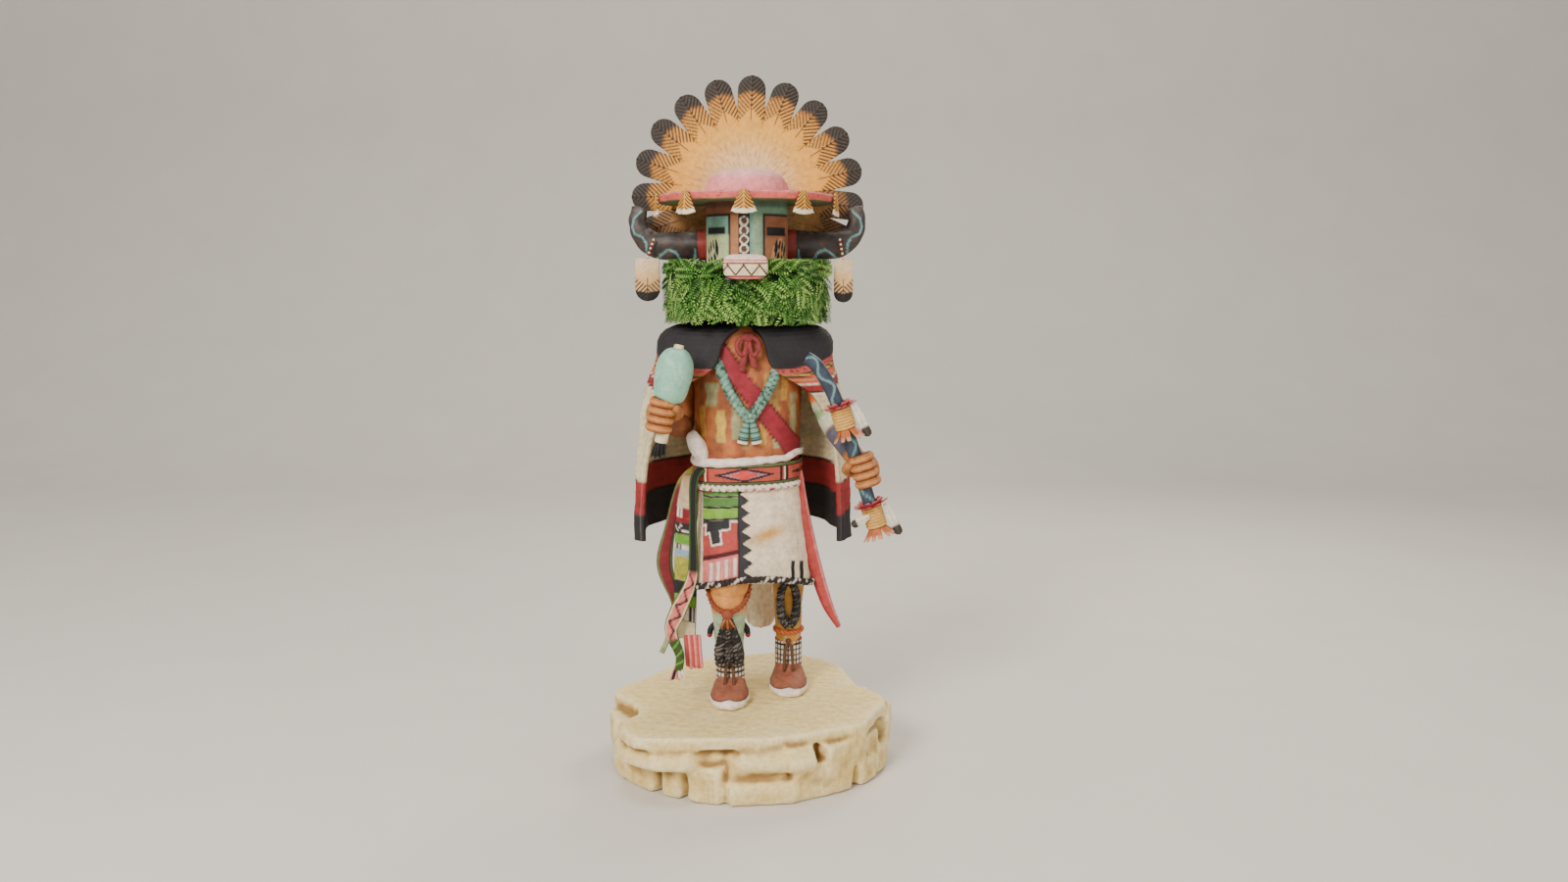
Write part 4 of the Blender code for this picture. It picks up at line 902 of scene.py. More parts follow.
def make_jewellery():
    grids = []
    for side in (-1, 1):
        line = route([(1.2 + 15.5 * side, -17.0, 176), (1.2 + 13.0 * side, -20.2, 168),
                      (1.2 + 9.6 * side, -21.4, 160), (1.2 + 5.5 * side, -22.2, 153),
                      (1.4 + 1.0 * side, -22.6, 147)], 120)
        for k, strand in enumerate(rope(line, 0.0026, 2, 0.0052, 10, 0.58, (1, 0, 0))):
            s = along_of(strand) * 1000
            tone = lay(fill(s.shape, TURQUOISE), paint(30, 62, 52), step(1.4 * np.abs(np.sin(s * 1.9)) ** 8))
            tone = lay(tone, paint(168, 206, 180), np.clip(mottle(strand, 0.003, 41 + k), 0, 1) * 0.4)
            grids.append(closed(strand, tone))
        drop = route([(1.6 + 0.6 * side, -22.4, 148), (1.6 + 2.2 * side, -22.8, 141),
                      (1.6 + 3.6 * side, -22.4, 134)], 60)
        size = ease([(1.5, 1.5), (1.6, 1.6), (2.1, 1.8), (2.5, 1.9), (2.7, 1.9)], 60) * UNIT
        hang = tube(drop, size, 20)
        s = along_of(hang) * 1000
        tone = lay(fill(s.shape, TURQUOISE), paint(30, 62, 52), step(1.3 * np.abs(np.sin(s * 1.25)) ** 10))
        tone = lay(tone, WHITE, step((s - 12.6) / 0.8))
        tone = lay(tone, BLACK, inside(s, 12.0, 12.7, 0.3))
        grids.append(closed(hang, tone))
    figure_piece("necklace", grids)

    bow = []
    tie = paint(134, 52, 54)
    for x in (-13.3, 12.3):
        bow.append(closed(stud(at(x, -18.6, 188.2), 0.0013, 10, 14), WORN_WHITE))
    bow.append(closed(stud(at(1.0, -22.4, 186), (0.0032, 0.0026, 0.0026), 14, 20), tie))
    for side in (-1, 1):
        loop = route([(1 + 1.0 * side, -22.6, 186.5), (1 + 4.6 * side, -24.0, 184.5),
                      (1 + 5.2 * side, -24.4, 180.5), (1 + 2.6 * side, -24.2, 177.2),
                      (1 + 1.2 * side, -23.6, 180.4), (1 + 0.6 * side, -22.8, 184.4)], 60)
        bow.append(closed(tube(loop, (1.15 * MM, 1.05 * MM), 12), tie))
    for x, z in ((-2.4, 169.4), (4.6, 171.2)):
        tail = [(1.2, -22.6, 184), (x * 0.5 + 0.5, -23.6, 177), (x, -22.6, z)]
        bow.append(closed(cord(tail, [(1.2, 1.0), (1.5, 1.0), (1.9, 1.0)], 40, 0.06, 12), tie))
    shaded = []
    for points, colour, wrapped, capped in bow:
        tone = brushed(fill(points.shape[:2], colour), points, 0.16, 0.003, 51)
        tone = lay(tone, CRIMSON, step(mottle(points, 0.0014, 52) - 0.4) * 0.5)
        shaded.append((points, tone, wrapped, capped))
    figure_piece("throat_bow", shaded, FINE_CLOTH)


# Kilt and belts
def kilt_points(rows, around, grow=0.0):
    angle = np.radians(turns(around))
    s, c = np.sin(angle), np.cos(angle)
    t = np.linspace(0, 1, rows)[:, None]
    keys = ease([(112, 112, 26.5, 21, 19, 0.0), (104, 104, 27.2, 23, 20, 0.6),
                 (95, 93, 28.2, 24.3, 20.8, 1.3), (86, 82, 29.2, 25.5, 21.5, 2.0),
                 (76.5, 71, 30.2, 26.3, 22.2, 2.8), (66.5, 59, 31.2, 27, 23, 3.4)], rows)
    z_front, z_side, width, front, back, push = (keys[:, k:k + 1] for k in range(6))
    depth = np.where(c > 0, front, back)
    knee = push * np.exp(-((angle + 0.42) ** 2) / 0.10)
    folds = (0.45 * np.sin(angle * 11 + 1.3 * np.sin(t * 3)) * step(t * 1.4)
             * (0.35 + 0.65 * (np.abs(angle) > 0.9)))
    x = 1.5 + (width + grow + folds * 0.5) * powered(s, 0.85)
    y = -(depth + grow + knee + folds) * powered(c, 0.85)
    z = z_front + (z_side - z_front) * s * s + 1.5 * s * step((t - 0.5) / 0.5)
    points = at(x, y, z)
    return points, np.degrees(angle) + 0 * t, t + 0 * angle


def paint_kilt(x, t, angle):
    front = (np.abs(angle) < 90) * 1.0
    length, left, right = 45.5, -22.2, -3.7
    colour = lay(fill(x.shape, paint(228, 208, 168)), WORN_WHITE, 0.35 * np.ones_like(x))
    drop = t * length
    rise = drop - 24.4 + 0.38 * (x - 10.5)
    colour = lay(colour, paint(196, 142, 58), np.exp(-(((x - 10.5) / 8.6) ** 2 + (rise / 3.2) ** 2)) * front)
    panel = inside(x, left, right, 0.3) * front
    u = (x - left) / (right - left)
    lean = t - 0.030 * (1 - u)
    medium_green = paint(84, 128, 60)
    bright_green = paint(122, 172, 58)
    for top, bottom, tone in (
        (-0.1, 0.06, CHARCOAL), (0.06, 0.115, medium_green), (0.115, 0.135, BLACK),
        (0.135, 0.225, medium_green),
        (0.225, 0.25, BLACK), (0.25, 0.345, bright_green), (0.345, 0.365, BLACK), (0.365, 0.70, CHARCOAL),
    ):
        colour = lay(colour, tone, inside(lean, top, bottom, 0.008) * panel)
    colour = lay(colour, BLACK, panel * inside(lean, 0.365, 0.70, 0.01) * (np.sin(drop * 6.0) > 0.2) * 0.5)
    # A stepped cloud hangs down into the red, edged in white
    level = np.select([u < 0.085, u < 0.225, u < 0.51, u < 0.76], [0.438, 0.520, 0.628, 0.480], 0.39)
    below = np.clip((t - level) * length / 0.3 + 0.5, 0, 1) * panel
    colour = lay(colour, mix_colour(RED, SALMON, 0.45), below)
    edge = ((0, 0.446), (0.09, 0.43), (0.08, 0.53), (0.19, 0.51), (0.255, 0.635), (0.53, 0.62),
            (0.49, 0.488), (0.76, 0.473), (0.76, 0.39), (0.98, 0.39))
    span = right - left
    for (u0, t0), (u1, t1) in zip(edge, edge[1:]):
        ends = ((u0 * span, t0 * length), (u1 * span, t1 * length))
        colour = lay(colour, WORN_WHITE, near_line(u * span, drop, ends, 0.9) * panel)
    foot = t - 0.045 * (1 - u)
    colour = lay(colour, mix_colour(BLACK, CRIMSON, 0.25), inside(foot, 0.690, 0.735, 0.01) * panel)
    colour = lay(colour, mix_colour(SALMON, PINK, 0.45), inside(foot, 0.735, 0.945, 0.01) * panel)
    for middle in (0.24, 0.44, 0.66, 0.89):
        bar = inside(foot, 0.765, 0.925, 0.01) * panel
        colour = lay(colour, WORN_WHITE, inside(u, middle - 0.046, middle + 0.046, 0.02) * bar)
        colour = lay(colour, CREAM, inside(u, middle + 0.085, middle + 0.115, 0.02) * bar * 0.4)
    colour = lay(colour, BLACK, inside(foot, 0.945, 1.2, 0.01) * panel)
    tooth = saw((t - 0.17) / 0.133 + 0.5)
    reach = 0.8 + 2.5 * t - 4.4 * tooth
    colour = lay(colour, CHARCOAL, inside(x, right - 0.3, reach, 0.3) * front)
    colour = lay(colour, BLACK, inside(x - reach, -0.8, 0.2, 0.2) * (x > right - 0.5) * front)
    colour = lay(colour, BLACK, inside(x, right - 0.7, right + 0.1, 0.2) * front)
    for bar in (22.0, 26.4):
        colour = lay(colour, BLACK, inside(x, bar, bar + 1.9, 0.25) * inside(t, 0.80, 0.985, 0.012) * front)
    back_panel = (np.abs(angle) > 118) * 1.0
    colour = lay(colour, RED, back_panel * inside(t, 0.76, 0.9, 0.01))
    return lay(colour, medium_green, back_panel * inside(t, 0.12, 0.2, 0.01))


def make_kilt():
    points, angle, t = kilt_points(190, 620)
    x = points[..., 0] / UNIT
    colour = brushed(paint_kilt(x, t, angle), points, 0.08, 0.006, 61)
    points = raise_by(points, 0.00012 * mottle(points, 0.005, 62))
    figure_piece("kilt", [closed(points, colour)], CLOTH)
    hem = kilt_points(2, 800, 1.1)[0]
    grids = []
    for k, strand in enumerate(rope(np.concatenate([hem[-1], hem[-1][:1]]) + [0, 0, 0.0002], 0.0017, 2,
                                    0.0050, 10, 0.66, (0, 0, 1))):
        s = along_of(strand) * 1000
        slash = (np.abs(((s / 2.5 + 0.25 * k) % 1) - 0.5) < 0.09) * 1.0
        tone = lay(fill(s.shape, paint(34, 26, 24)), WORN_WHITE, slash * 0.85)
        grids.append(closed(strand, tone))
    figure_piece("kilt_hem_cord", grids)


def belt_path(z_right, z_left, half_width, half_depth, count=400):
    angle = np.radians(np.linspace(-180, 180, count))
    x = half_width * powered(np.sin(angle), 2 / 2.4)
    y = -half_depth * powered(np.cos(angle), 2 / 2.4)
    z = z_right + (z_left - z_right) * (x / (2 * half_width) + 0.5)
    return at(x, y, z), x


def paint_belt(s, h):
    """The woven belt; s is the distance to the left of the middle and h up from its centre, in units."""
    field, border = 3.3, 3.9
    colour = fill(s.shape, paint(176, 74, 60))
    away = np.floor(np.abs(s + 1.0) / 1.8) * 1.8 / 14.4
    rim = field * (1 - away)
    in_diamond = (np.abs(s + 1.0) < 14.4) * 1.0
    colour = lay(colour, paint(166, 112, 124), inside(np.abs(h), -1, rim, 0.2) * in_diamond)
    colour = lay(colour, BLACK, inside(np.abs(h), rim - 1.05, rim, 0.15) * in_diamond)
    cross = np.maximum(inside(np.abs(s + 1.0), -1, 2.3, 0.2) * inside(np.abs(h), -1, 2.3, 0.2),
                       inside(np.abs(s + 1.0), -1, 6.0, 0.2) * inside(np.abs(h), -1, 0.9, 0.2))
    colour = lay(colour, paint(206, 66, 56), cross)
    for centre in (36.6, -38.6):
        side = np.floor(np.abs(s - centre) / 1.8) * 1.8 / 14.4
        colour = lay(colour, BLACK,
                     inside(np.abs(h), field * (1 - side) - 0.85, field * (1 - side), 0.15)
                     * (np.abs(s - centre) < 14.4))
    for bar, width, tone in ((-21.4, 1.2, CRIMSON), (-20.3, 0.9, CREAM), (-19.2, 1.2, CRIMSON),
                             (16.9, 1.2, BLACK), (18.6, 0.7, CREAM), (19.7, 1.2, BLACK)):
        colour = lay(colour, tone, inside(s, bar - width / 2, bar + width / 2, 0.2))
    colour = lay(colour, BLACK, inside(np.abs(h), field, border, 0.15))
    colour = lay(colour, OLIVE, inside(np.abs(h), border, 9, 0.15))
    colour = lay(colour, mix_colour(OLIVE, BLACK, 0.7), inside(np.abs(h), 4.35, 4.65, 0.15))
    return colour


def make_belts():
    line = belt_path(110.8, 112.3, 27.2, 22.8, 500)[0]
    grids = []
    for k, strand in enumerate(rope(line, 0.0016, 2, 0.0064, 10, 0.62, (0, 0, 1))):
        s = along_of(strand) * 1000
        lower = step((line[:, 2:3] - strand[..., 2]) / 0.0005 + 0.9)
        mark = (((s / 3.2 + 0.5 * k) % 1) < 0.42) * 1.0
        which = np.floor(s / 3.2) % 3
        tone = fill(s.shape, WORN_WHITE)
        for number, colour in enumerate((RED, PINK, mix_colour(GREEN, BLACK, 0.3))):
            tone = lay(tone, colour, mark * lower * (which == number))
        grids.append(closed(strand, tone))
    figure_piece("kilt_rope", grids)

    rows, cols = 70, 900
    half_height = 5.1
    line, x = belt_path(117.2, 119.2, 27.5, 22.4, cols)
    v = np.linspace(-1, 1, rows)[:, None]
    out = line.copy()
    out[:, 2] = 0
    out /= np.linalg.norm(out, axis=1)[:, None]
    bulge = 0.5 * (1 - v**4)
    lift = np.array([0, 0, 1]) * (v * half_height * MM)[..., None]
    points = line[None] + out[None] * (bulge * MM)[..., None] + lift
    colour = paint_belt(x[None] + 0 * v, half_height * v + 0 * x[None])
    figure_piece("woven_belt", [(points, brushed(colour, points, 0.10, 0.004, 71), False, False)],
                 FINE_CLOTH)

    line, x = belt_path(123.0, 126.6, 26.9, 21.9, 320)
    thick = 2.3 - 0.6 * step((x + 24) / 48)
    line[:, 2] += 0.0016 * step((x - 19) / 6)
    roll = tube(line, np.stack([thick, thick], axis=1) * MM, 28, (0, 0, 1))
    roll = raise_by(roll, 0.00022 * mottle(roll, 0.0045, 72))
    lump = stud((0, 0, 0), (0.0044, 0.0048, 0.0086), 40, 48)
    tilt = math.radians(-26)
    turned = np.stack([lump[..., 0] * math.cos(tilt) + lump[..., 2] * math.sin(tilt), lump[..., 1],
                       lump[..., 2] * math.cos(tilt) - lump[..., 0] * math.sin(tilt)], axis=-1)
    lump = turned + at(-24.6, -14.5, 131.5)
    lump = raise_by(lump, 0.00035 * mottle(lump, 0.005, 73))
    figure_piece("belt_roll",
                 [plain(roll, WORN_WHITE, 0.10, 0.004, 74), plain(lump, WORN_WHITE, 0.10, 0.004, 75)])


# Cape
CAPE_ROWS = (
    (17.0, 17.0, 17.0, 173, 194.5, 191.6, 0.0), (35.5, 29.0, 21.6, 170, 193.0, 189.2, -0.5),
    (43.4, 34.0, 23.2, 166, 189.0, 182.6, -1.0), (45.0, 35.5, 24.0, 160, 178.0, 170.4, -1.5),
    (50.6, 37.0, 23.0, 132, 157.5, 155.0, -2.4), (53.4, 37.8, 20.6, 116, 128.0, 126.0, -2.9),
    (54.3, 38.3, 20.0, 112, 108.0, 104.0, -3.0), (54.8, 39.0, 20.0, 112, 91.0, 81.5, -3.0),
)
CAPE_WALL = 2.0


def cape_surface(rows, cols, wall):
    keys = ease(CAPE_ROWS, rows)
    half_width, back, front, edge, z_back, z_edge, lean = (keys[:, k:k + 1] for k in range(7))
    t = np.linspace(-1, 1, cols)[None]
    a = np.radians(edge) * t
    s, c = np.sin(a), np.cos(a)
    ripple = 0.9 * step((150 - z_back) / 60) + 0.25 * step((180 - z_back) / 30)
    fold = ripple * (np.sin(9.5 * a) + 0.35 * np.sin(21 * a + 1.0))
    x = lean + (half_width - wall + fold) * s
    y = np.where(c > 0, back - wall + fold, front - wall) * c
    z = z_back + (z_edge - z_back) * step(np.abs(t))
    row = np.linspace(0, len(CAPE_ROWS) - 1, rows)[:, None] + 0 * t
    if wall:
        z = z - wall * np.clip(1.2 - row * 0.5, 0, 1)
    return at(x, y, z + 0 * t), row, t + 0 * row


def paint_cape(row, t):
    colour = lay(fill(row.shape, CHARCOAL), BLACK, 0.45 * np.ones_like(row))
    slope = row + 0.30 * (1 - step((np.abs(t) - 0.50) / 0.48))
    bands = (
        (3.00, 3.20, SALMON), (3.20, 3.24, BLACK), (3.24, 3.29, YELLOW), (3.29, 3.33, BLACK),
        (3.33, 3.56, SALMON),
        (3.56, 3.61, WHITE), (3.61, 3.80, RED), (3.80, 3.84, BLACK), (3.84, 3.90, WHITE),
        (3.90, 5.62, CREAM),
        (5.62, 6.36, RED), (6.36, 7.5, CHARCOAL),
    )
    for top, bottom, tone in bands:
        colour = lay(colour, tone, inside(slope, top, bottom, 0.03))
    comb = saw(t * 46) > 0.55
    colour = lay(colour, BLACK, inside(slope, 3.05, 3.13, 0.02) * comb * 0.8)
    colour = lay(colour, YELLOW, inside(slope, 3.42, 3.46, 0.02) * 0.7)
    colour = lay(colour, BLACK, inside(slope, 5.60, 5.64, 0.02) + inside(slope, 6.34, 6.38, 0.02))
    colour = lay(colour, BLACK, inside(slope, 6.4, 7.6, 0.1) * 0.5)
    threads = (np.sin(row * 150) > 0.3) * (np.sin(t * 420) > -0.2)
    colour = lay(colour, BLACK, threads * 0.22)
    # The thin paler line along the front edges of the cream is a painted highlight on those edges.
    return lay(colour, WORN_WHITE, inside(np.abs(t), 0.989, 0.997, 0.003) * (slope > 3.9) * 0.85)


def make_cape():
    outer, row, t = cape_surface(230, 330, 0.0)
    inner, inner_row, inner_t = cape_surface(230, 100, CAPE_WALL)
    ribs = 0.00010 * np.sin(row * 95)
    outer = raise_by(outer, -ribs - 0.0002 * mottle(outer, 0.016, 81), False)
    points = np.concatenate([outer, inner[:, ::-1]], axis=1)
    colour = np.concatenate([brushed(paint_cape(row, t), outer, 0.12, 0.009, 82),
                             brushed(paint_cape(inner_row, inner_t * 0.98), inner, 0.12, 0.009,
                                     83)[:, ::-1]], axis=1)
    figure_piece("cape", [closed(points, colour)], CLOTH)


# Legs
def foot_grids(ankle):
    x, y = ankle
    levels = [(x, y - 7, 0, 8.0, 15.5), (x, y - 7, 0.6, 9.3, 17.2), (x, y - 7, 1.4, 9.8, 17.8),
              (x, y - 7, 2.8, 9.9, 17.9), (x, y - 6.8, 3.9, 9.4, 17.2), (x, y - 6.0, 5.6, 8.8, 15.0),
              (x, y - 4.0, 7.4, 8.2, 11.4), (x, y - 1.0, 9.4, 7.2, 7.8), (x, y, 12.5, 6.4, 6.6)]
    points, angle, z = ovals(levels, 90, 140, 2.25)
    colour = lay(fill(z.shape, MOCCASIN), mix_colour(MOCCASIN, SALMON, 0.4),
                 np.clip(mottle(points, 0.006, 91), 0, 1) * 0.5)
    rand = 3.3 + 1.0 * np.exp(-((angle / 38) ** 2)) + 0.4 * np.exp(-((angle / 11) ** 2))
    colour = lay(colour, mix_colour(BARK, BLACK, 0.4), inside(z, -1, rand + 0.45, 0.2))
    colour = lay(colour, WORN_WHITE, inside(z, -1, rand, 0.2))
    points = raise_by(points, 0.00012 * mottle(points, 0.006, 92) + 0.0003 * inside(z, -1, rand, 0.6))
    return closed(points, brushed(colour, points, 0.10, 0.004, 93))


def cuff_grids(ankle, low, high, radius, rows, columns=20):
    """A cuff of white squares between dark lines, with a dark red top ring."""
    x, y = ankle
    levels = [(x, y, low, radius - 0.7, radius - 1.0), (x, y, low + 1, radius, radius - 0.3),
              (x, y, (low + high) / 2, radius, radius - 0.3), (x, y, high - 1, radius, radius - 0.3),
              (x, y, high, radius - 0.6, radius - 0.9)]
    points, angle, z = ovals(levels, 90, 200)
    share = (z - low) / (high - low)
    across = (angle + 180) / 360 * columns
    down = share * rows
    bead = near_zero(across % 1 - 0.5, 0.31, 0.06) * near_zero(down % 1 - 0.5, 0.33, 0.06)
    number = np.floor(across) * 7 + np.floor(down) * 3
    tones = lay(fill(z.shape, BLACK), WORN_WHITE, bead)
    tones = lay(tones, OCHRE, bead * (number % 11 == 0) * 0.8)
    tones = lay(tones, CRIMSON, inside(share, 0.93, 2, 0.03))
    tones = lay(tones, BARK, inside(share, -1, 0.05, 0.03))
    return closed(raise_by(points, 0.00028 * bead), brushed(tones, points, 0.08, 0.003, 94))


def leg_grids(ankle, knee, hip, radii, tones):
    """A leg; radii are at the ankle, calf, below the knee and the knee."""
    x, y = ankle
    mid_x, mid_y = x + (knee[0] - x) * 0.45, y + (knee[1] - y) * 0.45
    path = route([(x, y, 17), (x, y, 22), (mid_x, mid_y, 37), (knee[0], knee[1] + 0.6, 49), knee,
                  (knee[0], knee[1] + 3.0, 66), hip], 140)
    at_ankle, calf, below, at_knee = radii
    size = ease([(at_ankle,) * 2, (at_ankle,) * 2, (calf,) * 2, (below,) * 2, (at_knee,) * 2,
                 (at_knee + 0.6,) * 2, (12,) * 2], 140) * UNIT
    points = tube(path, size, 90)
    z = (points[..., 2] - SOLE_Z) / UNIT
    shin, thigh = tones
    colour = lay(fill(z.shape, shin), thigh, step((z - 47) / 3))
    colour = lay(colour, mix_colour(shin, WHITE, 0.4),
                 np.clip(mottle(points * [1, 1, 0.4], 0.006, 95), 0, 1) * (z < 47) * 0.5)
    points = raise_by(points, 0.0002 * mottle(points, 0.007, 96))
    return closed(points, brushed(colour, points, 0.12, 0.006, 97))


def yarn_lobes(paths, radii, pitch=0.0075):
    """Braids of dark yarn with fine grey threads."""
    grids = []
    for number, points in enumerate(paths):
        line = route(points, 90)
        radius = ease([(r,) for r in radii], 90)[:, 0] * UNIT
        for k, strand in enumerate(rope(line, radius, 3, pitch, 12, 0.56)):
            s = along_of(strand) * 1000
            turn = np.linspace(0, 1, 12, endpoint=False)[None]
            thread = (np.abs(((s / 1.5 + turn * 2 + 0.3 * k + 0.5 * number) % 1) - 0.5) < 0.10) * 1.0
            grids.append(closed(strand, lay(fill(s.shape, BLACK), paint(132, 126, 120), thread * 0.65)))
    return grids


def garter(knee, side_z, drop, radius_x, radius_y, tone, thick):
    """A two-strand band that hangs in a U over the front."""
    angle = np.radians(np.linspace(-180, 180, 180))
    x = knee[0] + radius_x * np.sin(angle)
    y = knee[1] + 1.5 - radius_y * np.cos(angle)
    z = side_z - drop * np.clip(np.cos(angle), 0, 1) ** 0.8
    line = at(x, y, z)
    return [closed(strand, tone) for strand in rope(line, thick, 2, 0.0045, 10, 0.62, (0, 0, 1))]


def make_legs():
    right_ankle, left_ankle = (-9.4, -6.0), (20.8, 13.0)
    right_knee, left_knee = (-9.4, -18.5, 58.0), (20.8, 8.0, 58.0)
    figure_piece("moccasin_right", [foot_grids(right_ankle)])
    figure_piece("moccasin_left", [foot_grids(left_ankle)])
    shin = paint(152, 174, 144)
    knee_tone = paint(202, 134, 66)
    knob = stud(at(-9.0, -18.8, 62.2), (0.0098, 0.0103, 0.0100), 60, 80)
    right = leg_grids(right_ankle, right_knee, (-10, -6, 92), (6.8, 7.9, 8.7, 9.2), (shin, knee_tone))
    figure_piece("leg_right", [right, plain(knob, knee_tone, 0.12, 0.006, 98)])
    left_tones = (paint(172, 124, 48), paint(186, 134, 58))
    figure_piece("leg_left",
                 [leg_grids(left_ankle, left_knee, (16, 2, 92), (6.4, 7.2, 7.6, 8.4), left_tones)])
    figure_piece("cuff_right", [cuff_grids(right_ankle, 8.2, 22.6, 7.3, 5)])
    figure_piece("cuff_left", [cuff_grids(left_ankle, 8.6, 25.6, 6.9, 6)])
    leather = paint(136, 66, 40)
    ties = garter(right_knee, 63.5, 13.4, 10.7, 10.9, leather, 0.0014)
    ties += garter(left_knee, 64.0, 4.0, 9.2, 9.6, BLACK, 0.0014)
    ties.append(closed(stud(at(-9.6, -28.6, 49.2), (0.0030, 0.0026, 0.0027), 16, 20), leather))
    ties.append(closed(stud(at(20.8, -2.6, 60.4), (0.0042, 0.0028, 0.0036), 20, 26), BLACK))
    for side in (-1, 1):
        mark = [(20.8 + 0.8 * side, -5.3, 62.4), (20.8 + 2.2 * side, -5.1, 60.6),
                (20.8 + 1.4 * side, -5.2, 58.6)]
        ties.append(closed(cord(mark, [(0.45, 0.4), (0.5, 0.4)], 20, 0.12, 8), WORN_WHITE))
    for side in (-2, -1, 0, 1, 2):
        tail = [(-9.6, -28.8, 48.6), (-9.6 + 1.0 * side, -29.0, 45),
                (-9.4 + 1.6 * side, -26.4, 41 + 0.5 * abs(side))]
        tone = (paint(176, 96, 48), BARK)[side % 2]
        ties.append(closed(cord(tail, [(0.55, 0.6), (0.60, 0.6)], 24, 0.1, 8), tone))
    for ankle, reach, low, high in ((right_ankle, 7.3, 7, 21), (left_ankle, 6.9, 9, 25)):
        for side in (-1, 1):
            lace = [(ankle[0], ankle[1] - reach, high),
                    (ankle[0] + 1.8 * side, ankle[1] - reach - 1.4, high - 5),
                    (ankle[0] + 2.4 * side, ankle[1] - reach - 3.0, low)]
            ties.append(closed(cord(lace, [(0.75, 0.6), (0.85, 0.6)], 30, 0.08, 8), BARK))
        ties.append(closed(stud(at(ankle[0], ankle[1] - reach - 0.2, high), (0.0016, 0.0012, 0.0016), 10,
                                14), BARK))
    for side in (-1, 1):
        tuft = [(-9.6 + 6.8 * side, -13.5, 41), (-9.6 + 9.2 * side, -14.2, 37.5),
                (-9.6 + 9.9 * side, -14.0, 33.0)]
        grid = cord(tuft, [(1.0, 1.0), (1.5, 1.3), (1.2, 1.1)], 24, 0.14, 14)
        tone = lay(fill(grid.shape[:2], BLACK), RED, step((along_of(grid) * 1000 - 6.2) / 0.8))
        ties.append(closed(grid, tone))
    band = garter((20.8, 10.2), 30.2, 0.0, 6.9, 7.2, paint(186, 92, 56), 0.0014)
    figure_piece("leg_ties", ties + band)
    lobes = [[(-9.6 + 0.2 * o, -26.6, 46.5), (-9.5 + 0.55 * o, -22.0, 37.5), (-9.4 + 0.9 * o, -18.0, 27.5),
              (-9.4 + o, -16.6, 20.0)] for o in (-5.0, 0.0, 5.0)]
    figure_piece("shin_yarn_right", yarn_lobes(lobes, (1.3, 2.2, 2.9, 2.0)))
    loops = [[(20.8 + 1.2 * side, -1.9, 59.4), (20.8 + 3.8 * side, -1.7, 53.5),
              (20.8 + 4.2 * side, -0.4, 46.0), (20.8 + 3.3 * side, 0.8, 39.0),
              (20.8 + 0.8 * side, 1.4, 34.6)] for side in (-1, 1)]
    figure_piece("shin_yarn_left", yarn_lobes(loops, (1.7, 2.05, 2.1, 2.4, 2.0), 0.0065))


# Arms and hands
HANDLE_FOOT, HANDLE_TOP = at(-40.6, -36.0, 137.0), at(-31.2, -37.0, 183.0)
HANDLE = HANDLE_TOP - HANDLE_FOOT
HANDLE_LENGTH = np.linalg.norm(HANDLE)
HANDLE_AXIS = HANDLE / HANDLE_LENGTH
STAFF_POINTS = (
    (28.8, -33, 177.0), (33.8, -33, 173.5), (38.8, -33, 166.0), (43.6, -33, 156.0), (49.4, -33, 140.0),
    (56.0, -33, 119.5), (62.4, -33, 99.0),
)
STAFF_AXIS = unit(at(*STAFF_POINTS[4]) - at(*STAFF_POINTS[6]))
STAFF_GRIP = at(55.2, -33, 122.0)
UPPER_BUNDLE, LOWER_BUNDLE = at(47.0, -33, 147.6), at(62.4, -33, 99.6)
RIGHT_GRIP, GOURD_START = 0.27, 0.40
FINGER_RADIUS = 0.0022
STAFF_RADIUS = 0.0033


def arm(points, radii, paint_arm):
    path = route(points, 110)
    size = ease([(r, r) for r in radii], 110) * UNIT
    grid = tube(path, size, 64)
    grid = raise_by(grid, 0.00025 * mottle(grid, 0.006, 101))
    share = along_of(grid) / along_of(grid)[-1, 0]
    return closed(grid, brushed(paint_arm(share), grid, 0.12, 0.005, 102))


